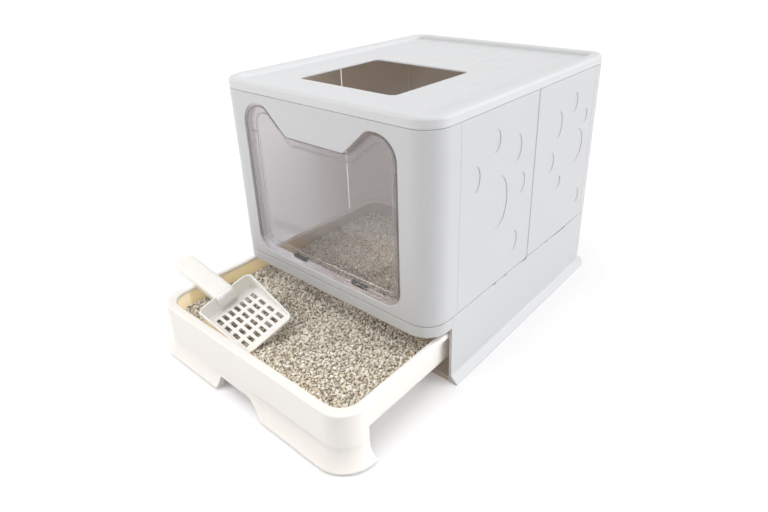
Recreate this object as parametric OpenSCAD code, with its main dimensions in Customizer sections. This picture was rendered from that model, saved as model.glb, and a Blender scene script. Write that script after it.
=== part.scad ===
// Litter box with a pull-out drawer, a folding enclosure, a swinging flap and a top entry lid.
// Millimetres. X to the right, Y to the back, Z up.
// The origin is on the floor, at the centre of the enclosure's footprint.

/* [Enclosure] */
// Outside width across the side panels
body_w = 383; // [378:1:400]
// Outside depth from the front panel to the back panel
body_d = 468; // [460:1:500]
// Height of the closed box
body_h = 380; // [370:1:420]
// Height of the base tray's rim
base_h = 107; // [104:1:116]
// Height of the lid's edge
lid_h = 14; // [13:1:18]
// Thickness of the base and enclosure walls
wall = 4; // [3.6:0.1:4.5]
// Outside radius of the two front corners
front_r = 36; // [32:1:39]
// Outside radius of the two rear corners
rear_r = 30; // [26:1:36]
// Open seam between two stacked pieces
seam = 0.4; // [0.3:0.1:0.8]
// Height of the tongue along a panel's top and bottom edge
tongue_h = 4; // [3:0.5:5]
// Thickness of the outer edge that covers a tongue
skin = 1.8; // [1.5:0.1:2]
// Clearance between stacked or sliding pieces
clear = 0.3; // [0.3:0.1:0.5]

/* [Base tray] */
// How far the foot flares out beyond the walls
foot_out = 9.6; // [6:0.2:12]
// Height at which the foot's flare starts
foot_h = 12; // [9:0.5:16]
// Height of the foot's upright edge
foot_edge = 2; // [1:0.5:4]
// Thickness of the base tray's floor
floor_t = 3; // [2:0.5:4]
// Height of the sill along the floor's front edge
sill_h = 5; // [4:0.5:8]
// Distance from the front face back to the side walls' front edges
mouth_d = 44; // [44:1:56]
// Height of the rail that bridges the front
rail_h = 17; // [14:0.5:18]
// Width of each runner rib
runner_w = 6; // [4:0.5:12]
// Distance between the two runner ribs
runner_gauge = 240; // [180:5:280]
// Clip slots in the side rims: start as a share of half the depth, and length
clip_slots = [[-0.385, 6], [-0.256, 6], [-0.034, 13], [0.282, 8], [0.402, 45]];
// Depth of the clip slots below the rim
clip_h = 1.6; // [1:0.2:2.4]

/* [Drawer] */
// How far the drawer stands open
drawer_open = 150; // [130:5:160]
// How far the closed drawer's face stands in front of the enclosure
drawer_proud = 7.5; // [6:0.5:12]
// Height of the drawer's rim
drawer_h = 82; // [78:1:86]
// Height of the basin's underside
basin_z = 30; // [24:1:34]
// Thickness of the drawer's walls and floor
drawer_wall = 3; // [2.5:0.5:3.5]
// Thickness of the rim plate
rim_t = 2.5; // [2:0.5:3]
// Width of the rim along the sides and the rear
rim_side = 9; // [8:0.5:12]
// Width of the rim along the front
rim_front = 13.5; // [12:0.5:16]
// Depth of the rim's turned-down lip
rim_lip = 8; // [5:0.5:10]
// Inside radius of the basin's corners
basin_r = 26; // [20:1:32]
// How far the basin's walls lean in towards the floor
basin_draft = 1.5; // [0.5:0.5:2]
// Gap between the closed drawer's rear rim and the back wall
drawer_rear_gap = 5; // [3:1:10]
// Gap between the closed fascia's ends and the base tray's side walls
wing_gap = 12; // [1:1:12]
// Height at which the fascia's flare starts
flare_h = 26; // [20:1:32]
// Clearance between the drawer's foot and the floor
foot_clear = 4; // [2:0.5:5]
// Place of the finger arch's middle across the width
arch_x = 5; // [-12:1:12]
// Half the width of the finger arch at the foot
arch_half = 53; // [48:1:60]
// How far the arch's left side leans in
arch_lean = 2; // [1:1:6]
// How far the arch's right side sweeps out towards the foot
arch_sweep = 42; // [36:1:46]
// Radius of the sweep's two bends
sweep_r = 24; // [16:1:26]
// Height of the finger arch
arch_h = 20; // [18:1:26]
// Depth of the step in the drawer's sides
step_d = 1.5; // [1:0.1:1.5]
// Distance from the step to the base tray's mouth
step_ahead = 10; // [6:1:14]
// Height of the step's top edge
step_h = 64; // [56:1:68]
// Level of the litter
litter_z = 60; // [50:1:66]
// Mounds of litter: place across and along the basin as shares, radius, height
mounds = [
    [0.41, 0.216, 68, 7], [-0.44, 0.351, 58, 9], [0.35, 0.514, 72, 6], [-0.39, 0.637, 78, 9],
    [0.48, 0.773, 66, 8]];

/* [Doorway and flap] */
// Half the width of the doorway
door_half = 141; // [136:1:141]
// Height of the doorway's sill above the base tray's rim
sill_rise = 13; // [11:1:17]
// Drop from the lid's lower edge to the ear tops
ear_drop = 14; // [13:1:20]
// Height of the ears above the edge between them
ear_h = 37; // [30:1:44]
// Half the width of the edge between the ears
brow_half = 54; // [46:1:60]
// Half the distance between the inner corners of the ears
ear_inner = 95; // [90:1:99]
// Radius of the doorway's lower corners
sill_r = 25; // [20:1:30]
// Radius of the ears' outer corners
ear_r = 32; // [26:1:33]
// Radius of the ears' inner corners
ear_inner_r = 20; // [8:1:21]
// Radius of the corners beside the brow
brow_r = 12; // [5:1:14]
// Depth of the frame that lines the doorway
frame_d = 15; // [13:0.5:18]
// Thickness of the frame that lines the doorway
frame_t = 3; // [2.5:0.5:3.5]
// Gap between the flap and the doorway
flap_gap = 2.5; // [2:0.1:3]
// How far the flap is set back from the front face
flap_back = 8; // [7:0.5:9]
// Thickness of the flap's edge band
band_t = 4; // [4:0.1:5]
// Width of the flap's edge band
band_w = 12.5; // [10:0.5:14]
// Thickness of the flap's pane
pane_t = 2; // [1.5:0.1:2.5]
// Thickness of the flange around the flap's edge
flange_t = 1.6; // [1.2:0.1:2]
// How far the flange stops short of the front face
flange_in = 1; // [0.5:0.1:2]
// Clearance between the swinging flange and the doorway's brow
swing_clear = 0.8; // [0.6:0.1:1]
// Length of the taper at each end of the flange's recess under the brow
brow_run = 12; // [12:1:16]
// Drop from the ear tops to the flap's pins
pin_drop = 45.5; // [42:0.5:56]
// Radius of the flap's pins
pin_r = 1.2; // [1:0.1:1.4]
// Length of each pin inside the flap
pin_in = 9; // [7:0.5:10]
// Running clearance of pins and rods in their bores
run_clear = 0.05; // [0.04:0.01:0.08]
// Length of each magnet
magnet_l = 28; // [20:1:36]
// Height of each magnet
magnet_h = 2.4; // [2:0.1:2.6]
// Distance between the two magnets
magnet_gauge = 120; // [90:5:140]

/* [Folding sides] */
// Distance from the front face to the front fold line
fold_front = 55; // [52:1:60]
// Distance from the back face to the rear fold line
fold_rear = 41; // [40:1:48]
// Radius of a hinge knuckle
knuckle_r = 2; // [1.9:0.1:2.4]
// Radius of a hinge rod
rod_r = 1; // [0.8:0.1:1.1]
// Knuckles along one fold line
knuckles = 5; // [3:2:9]
// Depth of the sunk ovals
oval_t = 1; // [0.6:0.1:1.2]
// Ovals on a front half: place from its middle and height up it as shares, half width, half height
front_ovals = [
    [-0.032, 0.492, 26, 38.5], [-0.086, 0.834, 11, 15], [0.21, 0.741, 12, 19],
    [-0.328, 0.689, 11, 17.5], [0.301, 0.527, 11, 15.5], [0.237, 0.193, 11, 16]];
// Ovals on a rear half: place from its middle and height up it as shares, half width, half height
rear_ovals = [
    [0.215, 0.546, 28, 28.5], [0.124, 0.834, 11, 15], [-0.14, 0.743, 12, 20.5], [0.355, 0.716, 10, 11.5],
    [-0.226, 0.533, 11, 15], [-0.059, 0.375, 10, 10], [0.36, 0.181, 10, 13]];

/* [Lid] */
// Width of the raised edge
edge_w = 19.5; // [16:0.5:21]
// Height of the raised edge above the deck
edge_rise = 7; // [5:0.5:8]
// Thickness of the deck
deck_t = 3; // [2.5:0.1:3]
// Rounding along the raised edge's outside
edge_r = 5.5; // [4:0.5:6]
// Width of the entry opening
entry_w = 183; // [170:1:190]
// Depth of the entry opening
entry_d = 172; // [150:1:180]
// Place of the entry opening's middle across the width
entry_x = -19.5; // [-36:0.5:0]
// Place of the entry opening's front edge behind the front face
entry_y = 79; // [72:1:90]
// Radius of the entry opening's corners
entry_r = 11; // [8:1:26]
// Height of the ribs on the deck
rib_h = 0.8; // [0.6:0.1:1.2]
// Width of each rib
rib_w = 3; // [2:0.5:4]
// Distance from rib to rib
rib_pitch = 24; // [20:1:30]

/* [Scoop] */
// Length of the scoop's pan
pan_l = 107; // [100:1:116]
// Width of the pan's mouth
mouth_w = 78; // [72:1:80]
// Width of the pan's back
pan_w = 90; // [84:1:92]
// Height of the pan's back
pan_h = 27; // [24:1:29]
// Height of the pan's sides at the mouth
lip_low = 5; // [4:0.5:7]
// Radius of the pan's corners
pan_r = 10; // [8:1:12]
// Thickness of the scoop's walls
scoop_wall = 2.4; // [2:0.1:3]
// Length of the scoop from mouth to handle end
scoop_l = 238; // [228:1:244]
// Width of the handle
handle_w = 31; // [26:1:32]
// Depth of the handle
handle_d = 16; // [12:0.5:16]
// Slots across the pan
slot_cols = 7; // [5:1:7]
// Slots along the pan
slot_rows = 4; // [3:1:4]
// Length of one slot
slot_l = 15; // [10:0.5:16]
// Width of one slot
slot_w = 5.5; // [4:0.5:6]
// Distance between slots across the pan
slot_pitch_x = 9.9; // [9:0.1:10]
// Distance between slots along the pan
slot_pitch_y = 21.5; // [19:0.1:22]
// Distance from the mouth to the first row of slots
slot_start = 20.5; // [18:0.5:22]
// Place of the mouth's middle across the width
scoop_x = -2.5; // [-8:0.5:8]
// Distance from the drawer's face back to the mouth's middle
scoop_in = 58.5; // [58:0.5:66]
// Turn of the handle from straight left
scoop_turn = -4.8; // [-5:0.1:0]
// Rise of the handle towards its end
scoop_tilt = 1.7; // [1.7:0.1:4]
// Roll that lifts the pan's rear side
scoop_roll = 16; // [15:0.5:17]

/* [Hidden] */
ROUND = 64;
ARC_STEPS = 6;
OVAL_STEPS = 32;
POST_ROUND = 32;
// How far a cut runs past a face
OVER = 1;

// Main planes
side_x = body_w / 2;
inner_x = side_x - wall;
front_y = -body_d / 2;
back_y = body_d / 2;
lid_z = body_h - lid_h;
panel_z0 = base_h + seam;
panel_z1 = lid_z - seam;
panel_h = panel_z1 - panel_z0;
tongue_out = skin + clear;
rebate_z = base_h - tongue_h;
fold_seam = seam / 2;
deck_z = body_h - edge_rise;
deck_under = deck_z - deck_t;
tongue_top = deck_under - clear;

// Base tray
mouth_y = front_y + mouth_d;
rail_z = base_h - rail_h;
sill_t = wall;
runner_top = basin_z - clear;

// Drawer
slide_gap = 1;
fascia_y = front_y - drawer_proud - drawer_open;
fascia_back = mouth_y - drawer_open - wing_gap;
drawer_back = back_y - wall - drawer_rear_gap - drawer_open;
rim_x = inner_x - slide_gap;
basin_x = rim_x - rim_side;
basin_front = fascia_y + rim_front;
basin_back = drawer_back - rim_side;
rim_r = basin_r - wall;
litter_gap = clear;
litter_inset = basin_draft + litter_gap;
arch_r = 3;
toe_l = 9;
toe_t = 0.8;
step_y = mouth_y - step_ahead;

// Doorway and flap
flap_y = front_y + flap_back + band_t / 2;
sill_z = base_h + sill_rise;
ear_z = lid_z - ear_drop;
brow_z = ear_z - ear_h;
pin_z = ear_z - pin_drop;
doorway = [
    [-door_half, sill_z, sill_r], [door_half, sill_z, sill_r], [door_half, ear_z, ear_r],
    [ear_inner, ear_z, ear_inner_r], [brow_half, brow_z, brow_r], [-brow_half, brow_z, brow_r],
    [-ear_inner, ear_z, ear_inner_r], [-door_half, ear_z, ear_r]];
magnet_z = sill_z + flap_gap;
// How far in front of the pins the flange reaches under the brow, so that it swings past it
brow_reach = max(
    band_t / 2, sqrt(max(0, pow(brow_z - pin_z - swing_clear, 2) - pow(brow_z - pin_z - flap_gap, 2))));

// Fold lines
front_fold = front_y + fold_front;
rear_fold = back_y - fold_rear;
mid_y = (front_fold + rear_fold) / 2;
half_l = rear_fold - mid_y;
knuckle_pitch = panel_h / knuckles;
knuckle_gap = 0.5;
rod_in = 1;

// ---- Plane geometry ----

function unit(v) = v / norm(v);
function left_of(v) = [-v[1], v[0]];
function turned(v, a) = [v[0] * cos(a) - v[1] * sin(a), v[0] * sin(a) + v[1] * cos(a)];
function place(p, i) = let (q = p[(i + len(p)) % len(p)]) [q[0], q[1]];

// A counter-clockwise outline of [x, y, radius] corners, moved inwards by d
function inset(p, d) = [
    for (i = [0:len(p) - 1])
        let (
            b = place(p, i),
            u = left_of(unit(b - place(p, i - 1))),
            v = left_of(unit(place(p, i + 1) - b)),
            bend = cross(u, v) > 0 ? 1 : -1,
            q = b + (u + v) * d / (1 + u * v))
        [q[0], q[1], max(0, p[i][2] - bend * d)]];

// The same outline's points, with an arc at each corner that has a radius
function softened(p) = [
    for (i = [0:len(p) - 1])
        let (
            b = place(p, i),
            r = p[i][2],
            u = unit(b - place(p, i - 1)),
            v = unit(place(p, i + 1) - b),
            bend = cross(u, v) > 0 ? 1 : -1,
            turn = acos(u * v),
            c = b - u * r * tan(turn / 2) + left_of(u) * bend * r,
            steps = r > 0 ? ARC_STEPS : 0)
        for (k = [0:steps])
            r > 0 ? c + turned(-left_of(u) * bend * r, bend * turn * k / steps) : b];

// A rectangle with front and rear corner radii
module plan(w, y0, y1, r0, r1) {
    x = w / 2;
    polygon(softened([[-x, y0, r0], [x, y0, r0], [x, y1, r1], [-x, y1, r1]]));
}

// ---- Sweeps: a profile of [outwards from the wall's face, height] ----

// A straight run of the profile, facing +X, from y1 down to y0
module run(x, y0, y1) {
    translate([x, y1, 0])
        rotate([90, 0, 0])
            linear_extrude(y1 - y0) children();
}

// A U of the profile: a front run, two round corners, and two sides that end at y1
module u_sweep(w, y0, y1, r) {
    rotate([0, 0, -90])
        run(-y0, r - w / 2, w / 2 - r) children();
    for (side = [0, 1])
        mirror([side, 0, 0]) {
            run(w / 2, y0 + r, y1) children();
            translate([w / 2 - r, y0 + r, 0])
                rotate([0, 0, -90])
                    rotate_extrude(angle = 90, $fn = ROUND)
                        translate([r, 0]) children();
        }
}

// The same U turned to run round the back
module rear_sweep(w, y0, y1, r) {
    rotate([0, 0, 180])
        u_sweep(w, -y1, -y0, r) children();
}

// ---- Hinges ----

// Every second knuckle on the fold line (x, y), from the one numbered first
module knuckle_row(x, y, first) {
    for (i = [first:2:knuckles - 1])
        translate([x, y, panel_z0 + i * knuckle_pitch + knuckle_gap / 2])
            cylinder(r = knuckle_r, h = knuckle_pitch - knuckle_gap, $fn = ROUND);
}

// Room in a panel's edge for its neighbour's knuckles and for the rod
module knuckle_room(x, y, first) {
    for (i = [first:2:knuckles - 1])
        translate([x, y, panel_z0 + i * knuckle_pitch])
            cylinder(r = knuckle_r + clear, h = knuckle_pitch, $fn = ROUND);
    translate([x, y, panel_z0 - OVER])
        cylinder(r = rod_r + run_clear, h = panel_h + 2 * OVER, $fn = ROUND);
}

module hinge_rod(x, y) {
    color("silver")
        translate([x, y, panel_z0 + rod_in])
            cylinder(r = rod_r, h = panel_h - 2 * rod_in, $fn = ROUND);
}

// ---- Base tray ----

module base_wall_profile() {
    polygon([
        [-wall, 0], [foot_out, 0], [foot_out, foot_edge], [0, foot_h], [0, base_h], [-skin, base_h],
        [-skin, rebate_z - clear], [-wall, rebate_z - clear]]);
}

module rail_profile() {
    polygon([
        [-wall, rail_z], [0, rail_z], [0, base_h], [-skin, base_h], [-skin, rebate_z - clear],
        [-wall, rebate_z - clear]]);
}

module base_tray() {
    color([0.90, 0.91, 0.92])
        difference() {
            union() {
                rear_sweep(body_w, mouth_y, back_y, rear_r) base_wall_profile();
                u_sweep(body_w, front_y, mouth_y + OVER, front_r) rail_profile();
                linear_extrude(floor_t)
                    plan(body_w - wall, mouth_y + floor_t, back_y - wall / 2, 0, rear_r - wall / 2);
                translate([-inner_x - OVER, mouth_y + floor_t, 0])
                    cube([2 * (inner_x + OVER), sill_t, sill_h]);
                for (side = [-1, 1])
                    translate([side * runner_gauge / 2 - runner_w / 2, mouth_y + floor_t, OVER])
                        cube([runner_w, back_y - wall - mouth_y, runner_top - OVER]);
            }
            for (slot = clip_slots, side = [-1, 1])
                translate([side * side_x - wall / 2, slot[0] * back_y, base_h - clip_h])
                    cube([wall, slot[1], clip_h + OVER]);
        }
}

// ---- Drawer ----

module fascia_profile() {
    edge_z = foot_clear + foot_edge;
    cove = flare_h - edge_z;
    polygon(concat(
        [[-drawer_wall, foot_clear], [foot_out, foot_clear], [foot_out, edge_z]],
        [for (k = [1:ARC_STEPS]) let (t = k / ARC_STEPS) [foot_out * pow(1 - t, 2), edge_z + cove * t]],
        [[0, drawer_h - rim_t], [-drawer_wall, drawer_h - rim_t]]));
}

module basin_profile() {
    polygon([
        [-basin_draft, basin_z], [drawer_wall - basin_draft, basin_z], [drawer_wall, drawer_h - rim_t],
        [0, drawer_h - rim_t]]);
}

module rim_lip_profile() {
    polygon([
        [-drawer_wall / 2, drawer_h - rim_lip], [0, drawer_h - rim_lip], [0, drawer_h - rim_t],
        [-drawer_wall / 2, drawer_h - rim_t]]);
}

module drawer_outline() {
    plan(body_w, fascia_y, fascia_back, front_r, 0);
    plan(2 * rim_x, fascia_back - OVER, drawer_back, 0, rim_r);
}

module finger_arch() {
    translate([arch_x, fascia_y + rim_front, 0])
        rotate([90, 0, 0])
            linear_extrude(rim_front + foot_out + OVER)
                polygon(softened([
                    [-arch_half, -OVER, 0], [arch_half, -OVER, 0], [arch_half, foot_clear - toe_t, 0],
                    [arch_half - toe_l, foot_clear + toe_t, sweep_r], [arch_half - arch_sweep, arch_h, sweep_r],
                    [arch_lean - arch_half, arch_h, arch_r]]));
}

module drawer() {
    middle = (basin_front + basin_back) / 2;
    floor_x = basin_x - basin_draft + drawer_wall;
    color([0.95, 0.93, 0.89])
        difference() {
            union() {
                u_sweep(body_w, fascia_y, fascia_back, front_r) fascia_profile();
                u_sweep(2 * basin_x, basin_front, middle, basin_r) basin_profile();
                rear_sweep(2 * basin_x, middle, basin_back, basin_r) basin_profile();
                rear_sweep(2 * rim_x, fascia_back - OVER, drawer_back, rim_r) rim_lip_profile();
                translate([0, 0, basin_z])
                    linear_extrude(drawer_wall)
                        plan(
                            2 * floor_x, basin_front + basin_draft - drawer_wall,
                            basin_back - basin_draft + drawer_wall, basin_r, basin_r);
                translate([0, 0, drawer_h - rim_t])
                    linear_extrude(rim_t)
                        difference() {
                            drawer_outline();
                            plan(2 * basin_x, basin_front, basin_back, basin_r, basin_r);
                        }
                for (side = [0, 1])
                    mirror([side, 0, 0])
                        translate([basin_x + OVER, fascia_back - drawer_wall, basin_z])
                            cube([side_x - basin_x - 2 * OVER, drawer_wall, drawer_h - rim_t - basin_z]);
            }
            finger_arch();
            for (side = [0, 1])
                mirror([side, 0, 0])
                    translate([basin_x + drawer_wall - step_d, step_y, basin_z - OVER])
                        cube([step_d + OVER, drawer_back - basin_r - step_y, step_h - basin_z + OVER]);
        }
}

// A low round mound on the litter, at (x, y)
module mound(x, y, r, h) {
    ball = (r * r + h * h) / (2 * h);
    translate([x, y, litter_z + h - ball])
        intersection() {
            sphere(r = ball, $fn = ROUND);
            translate([-r, -r, ball - h - OVER])
                cube([2 * r, 2 * r, h + 2 * OVER]);
        }
}

module litter() {
    color([0.66, 0.62, 0.55])
        union() {
            translate([0, 0, basin_z + drawer_wall])
                linear_extrude(litter_z - basin_z - drawer_wall)
                    plan(
                        2 * (basin_x - litter_inset), basin_front + litter_inset, basin_back - litter_inset,
                        basin_r - litter_inset, basin_r - litter_inset);
            for (m = mounds)
                mound(m[0] * basin_x, basin_front + m[1] * (basin_back - basin_front), m[2], m[3]);
        }
}

// ---- Scoop ----

// An upright post of the scoop at (x, y), from z up by h
module post(x, y, z, h, r) {
    translate([x, y, z])
        cylinder(r = r, h = h, $fn = POST_ROUND);
}

// The pan's outer form, or the hollow in it when shrunk by t and lifted
module pan_form(t, lift, extra) {
    hull()
        for (side = [-1, 1]) {
            post(pan_r, side * (mouth_w / 2 - pan_r), lift, lip_low - lift + extra, pan_r - t);
            post(pan_l - pan_r, side * (pan_w / 2 - pan_r), lift, pan_h - lift + extra, pan_r - t);
        }
}

// The handle's outer form, or the hollow under it when shrunk by t
module handle_form(t, extra) {
    r = handle_w / 2;
    hull()
        for (x = [pan_l + (t > 0 ? r : 0), scoop_l - r])
            post(x, 0, pan_h - handle_d - extra, handle_d + extra - t, r - t);
}

module pan_slots() {
    for (col = [0:slot_cols - 1], row = [0:slot_rows - 1])
        translate([
            slot_start + row * slot_pitch_y - slot_l / 2,
            (col - (slot_cols - 1) / 2) * slot_pitch_x - slot_w / 2, -OVER])
            cube([slot_l, slot_w, scoop_wall + 2 * OVER]);
}

// How far the pan's lowest edge hangs under the mouth's middle once it is tilted and rolled
function pan_sag() =
    let (
        rise = sin(scoop_tilt),
        fall = cos(scoop_tilt) * sin(scoop_roll),
        edge = pan_r * norm([rise, fall]))
    max(
        fall * (mouth_w / 2 - pan_r) - rise * pan_r,
        fall * (pan_w / 2 - pan_r) - rise * (pan_l - pan_r)) + edge;

module scoop() {
    color([0.97, 0.96, 0.93])
        translate([scoop_x, fascia_y + scoop_in, litter_z + clear + pan_sag()])
            rotate([-scoop_roll, -scoop_tilt, 180 + scoop_turn])
                difference() {
                    union() {
                        pan_form(0, 0, 0);
                        handle_form(0, 0);
                    }
                    pan_form(scoop_wall, scoop_wall, OVER);
                    handle_form(scoop_wall, OVER);
                    pan_slots();
                }
}

// ---- Enclosure panels ----

module panel_profile() {
    polygon([
        [-wall, rebate_z], [-tongue_out, rebate_z], [-tongue_out, panel_z0], [0, panel_z0], [0, panel_z1],
        [-tongue_out, panel_z1], [-tongue_out, tongue_top], [-wall, tongue_top]]);
}

module doorway_prism(grow, y0, depth) {
    translate([0, y0 + depth, 0])
        rotate([90, 0, 0])
            linear_extrude(depth)
                polygon(softened(inset(doorway, -grow)));
}

module magnet_bars(y0, depth, z0, h) {
    for (side = [-1, 1])
        translate([side * magnet_gauge / 2 - magnet_l / 2, y0, z0])
            cube([magnet_l, depth, h]);
}

module front_panel() {
    color([0.90, 0.91, 0.92])
        difference() {
            union() {
                u_sweep(body_w, front_y, front_fold - fold_seam, front_r) panel_profile();
                doorway_prism(frame_t, front_y + OVER, frame_d - OVER);
                for (side = [0, 1])
                    mirror([side, 0, 0])
                        knuckle_row(inner_x, front_fold, 1);
            }
            doorway_prism(0, front_y - OVER, frame_d + 2 * OVER);
            magnet_bars(flap_y - band_t / 2, band_t, sill_z - magnet_h, magnet_h + OVER);
            for (side = [0, 1])
                mirror([side, 0, 0]) {
                    knuckle_room(inner_x, front_fold, 0);
                    translate([door_half - OVER, flap_y, pin_z])
                        rotate([0, 90, 0])
                            cylinder(r = pin_r + run_clear, h = frame_t + 2 * OVER, $fn = ROUND);
                }
        }
}

// Where the flange is cut back under the brow
module brow_room(flange_y) {
    end_x = brow_half + brow_run;
    translate([0, 0, pin_z])
        linear_extrude(brow_z + brow_run - pin_z)
            polygon([
                [-end_x, flange_y - OVER], [end_x, flange_y - OVER], [end_x, flange_y],
                [brow_half, flap_y - brow_reach], [-brow_half, flap_y - brow_reach], [-end_x, flange_y]]);
}

module flap_door() {
    flange_y = front_y + flange_in;
    color([0.75, 0.72, 0.72, 0.45])
        difference() {
            doorway_prism(-flap_gap, flange_y, flap_y + band_t / 2 - flange_y);
            doorway_prism(-flap_gap - flange_t, flange_y - OVER, flap_y - band_t / 2 - flange_y + OVER);
            for (side = [-1, 1])
                doorway_prism(-flap_gap - band_w, flap_y + (side > 0 ? pane_t / 2 : -band_t), band_t - pane_t / 2);
            brow_room(flange_y);
            magnet_bars(flap_y - band_t, 2 * band_t, magnet_z - OVER, magnet_h + OVER);
            for (side = [0, 1])
                mirror([side, 0, 0])
                    translate([door_half - flap_gap - pin_in - OVER, flap_y, pin_z])
                        rotate([0, 90, 0])
                            cylinder(r = pin_r + run_clear, h = pin_in + 2 * OVER, $fn = ROUND);
        }
}

module flap_pins() {
    color("silver")
        for (side = [0, 1])
            mirror([side, 0, 0])
                translate([door_half - flap_gap - pin_in, flap_y, pin_z])
                    rotate([0, 90, 0])
                        cylinder(r = pin_r, h = pin_in + flap_gap + frame_t - clear, $fn = ROUND);
}

module door_magnets() {
    color([0.25, 0.25, 0.27])
        magnet_bars(flap_y - band_t / 2, band_t, magnet_z, magnet_h);
}

module sill_magnets() {
    color([0.25, 0.25, 0.27])
        magnet_bars(flap_y - band_t / 2, band_t, sill_z - magnet_h, magnet_h);
}

module oval(y, z, a, b) {
    translate([side_x - oval_t, y, z])
        rotate([90, 0, 90])
            linear_extrude(oval_t + OVER)
                polygon([
                    for (k = [0:OVAL_STEPS - 1])
                        let (t = 360 * k / OVAL_STEPS) [a * cos(t), b * sin(t)]]);
}

// One half of a right side panel between two fold lines, each given as its place and its X
module side_half(y0, x0, y1, x1, ovals) {
    difference() {
        union() {
            run(side_x, y0 + fold_seam, y1 - fold_seam) panel_profile();
            knuckle_row(x0, y0, 0);
            knuckle_row(x1, y1, 1);
        }
        for (o = ovals)
            oval((y0 + y1) / 2 + o[0] * half_l, panel_z0 + o[1] * panel_h, o[2], o[3]);
        knuckle_room(x0, y0, 1);
        knuckle_room(x1, y1, 0);
    }
}

module front_half() {
    color([0.88, 0.89, 0.91])
        side_half(front_fold, inner_x, mid_y, side_x, front_ovals);
}

module rear_half() {
    color([0.88, 0.89, 0.91])
        side_half(mid_y, side_x, rear_fold, inner_x, rear_ovals);
}

module side_panel_right_front() {
    front_half();
}

module side_panel_right_rear() {
    rear_half();
}

module side_panel_left_front() {
    mirror([1, 0, 0]) front_half();
}

module side_panel_left_rear() {
    mirror([1, 0, 0]) rear_half();
}

module back_panel() {
    color([0.90, 0.91, 0.92])
        difference() {
            union() {
                rear_sweep(body_w, rear_fold + fold_seam, back_y, rear_r) panel_profile();
                for (side = [0, 1])
                    mirror([side, 0, 0])
                        knuckle_row(inner_x, rear_fold, 0);
            }
            for (side = [0, 1])
                mirror([side, 0, 0])
                    knuckle_room(inner_x, rear_fold, 1);
        }
}

// ---- Lid ----

module lid_edge_profile() {
    polygon(softened([
        [-skin, lid_z, 0], [0, lid_z, 0], [0, body_h, edge_r], [-edge_w, body_h, edge_r],
        [-edge_w - 2, deck_under, 0], [-edge_w + 1, deck_under, 0], [2 - edge_w, body_h - deck_t, 2],
        [-skin, body_h - deck_t, 2]]));
}

module entry_outline() {
    x0 = entry_x - entry_w / 2;
    y0 = front_y + entry_y;
    polygon(softened([
        [x0, y0, entry_r], [x0 + entry_w, y0, entry_r], [x0 + entry_w, y0 + entry_d, entry_r],
        [x0, y0 + entry_d, entry_r]]));
}

// Ribs along the deck, right of the entry opening and behind it
module deck_ribs() {
    x0 = entry_x - entry_w / 2;
    x_end = side_x - edge_w - rib_pitch / 2;
    behind = front_y + entry_y + entry_d + rib_pitch;
    back = back_y - edge_w - rib_pitch / 2;
    for (x = [x0:rib_pitch:x_end]) {
        beside = x > entry_x + entry_w / 2 + rib_w;
        start = beside ? front_y + edge_w + rib_pitch : behind;
        translate([x - rib_w / 2, start, deck_z - OVER])
            cube([rib_w, back - start, rib_h + OVER]);
    }
}

module lid() {
    color([0.94, 0.94, 0.95])
        union() {
            u_sweep(body_w, front_y, 0, front_r) lid_edge_profile();
            rear_sweep(body_w, 0, back_y, rear_r) lid_edge_profile();
            difference() {
                union() {
                    translate([0, 0, deck_under])
                        linear_extrude(deck_t)
                            plan(
                                body_w - 2 * edge_w, front_y + edge_w, back_y - edge_w,
                                front_r - edge_w, rear_r - edge_w);
                    deck_ribs();
                }
                translate([0, 0, deck_under - OVER])
                    linear_extrude(deck_t + rib_h + 2 * OVER)
                        entry_outline();
            }
        }
}

base_tray();
drawer();
litter();
scoop();
front_panel();
flap_door();
flap_pins();
door_magnets();
sill_magnets();
side_panel_right_front();
side_panel_right_rear();
side_panel_left_front();
side_panel_left_rear();
back_panel();
lid();
hinge_rod(inner_x, front_fold);  // hinge_rod_right_front
hinge_rod(side_x, mid_y);  // hinge_rod_right_middle
hinge_rod(inner_x, rear_fold);  // hinge_rod_right_rear
hinge_rod(-inner_x, front_fold);  // hinge_rod_left_front
hinge_rod(-side_x, mid_y);  // hinge_rod_left_middle
hinge_rod(-inner_x, rear_fold);  // hinge_rod_left_rear
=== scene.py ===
"""Looks of a litter box with a pull-out drawer, a folding enclosure, a swinging flap and a top entry lid.

Every length is in millimetres until a mesh is stored, and then in metres. X is to the right, Y to the
back and Z up, with the origin on the floor at the centre of the enclosure's footprint.
"""

import logging
import math
from dataclasses import dataclass, field
from enum import Enum
from typing import Callable, Iterable, Sequence

import bmesh
import bpy
import numpy as np
from mathutils import Euler, Matrix, Vector

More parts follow.
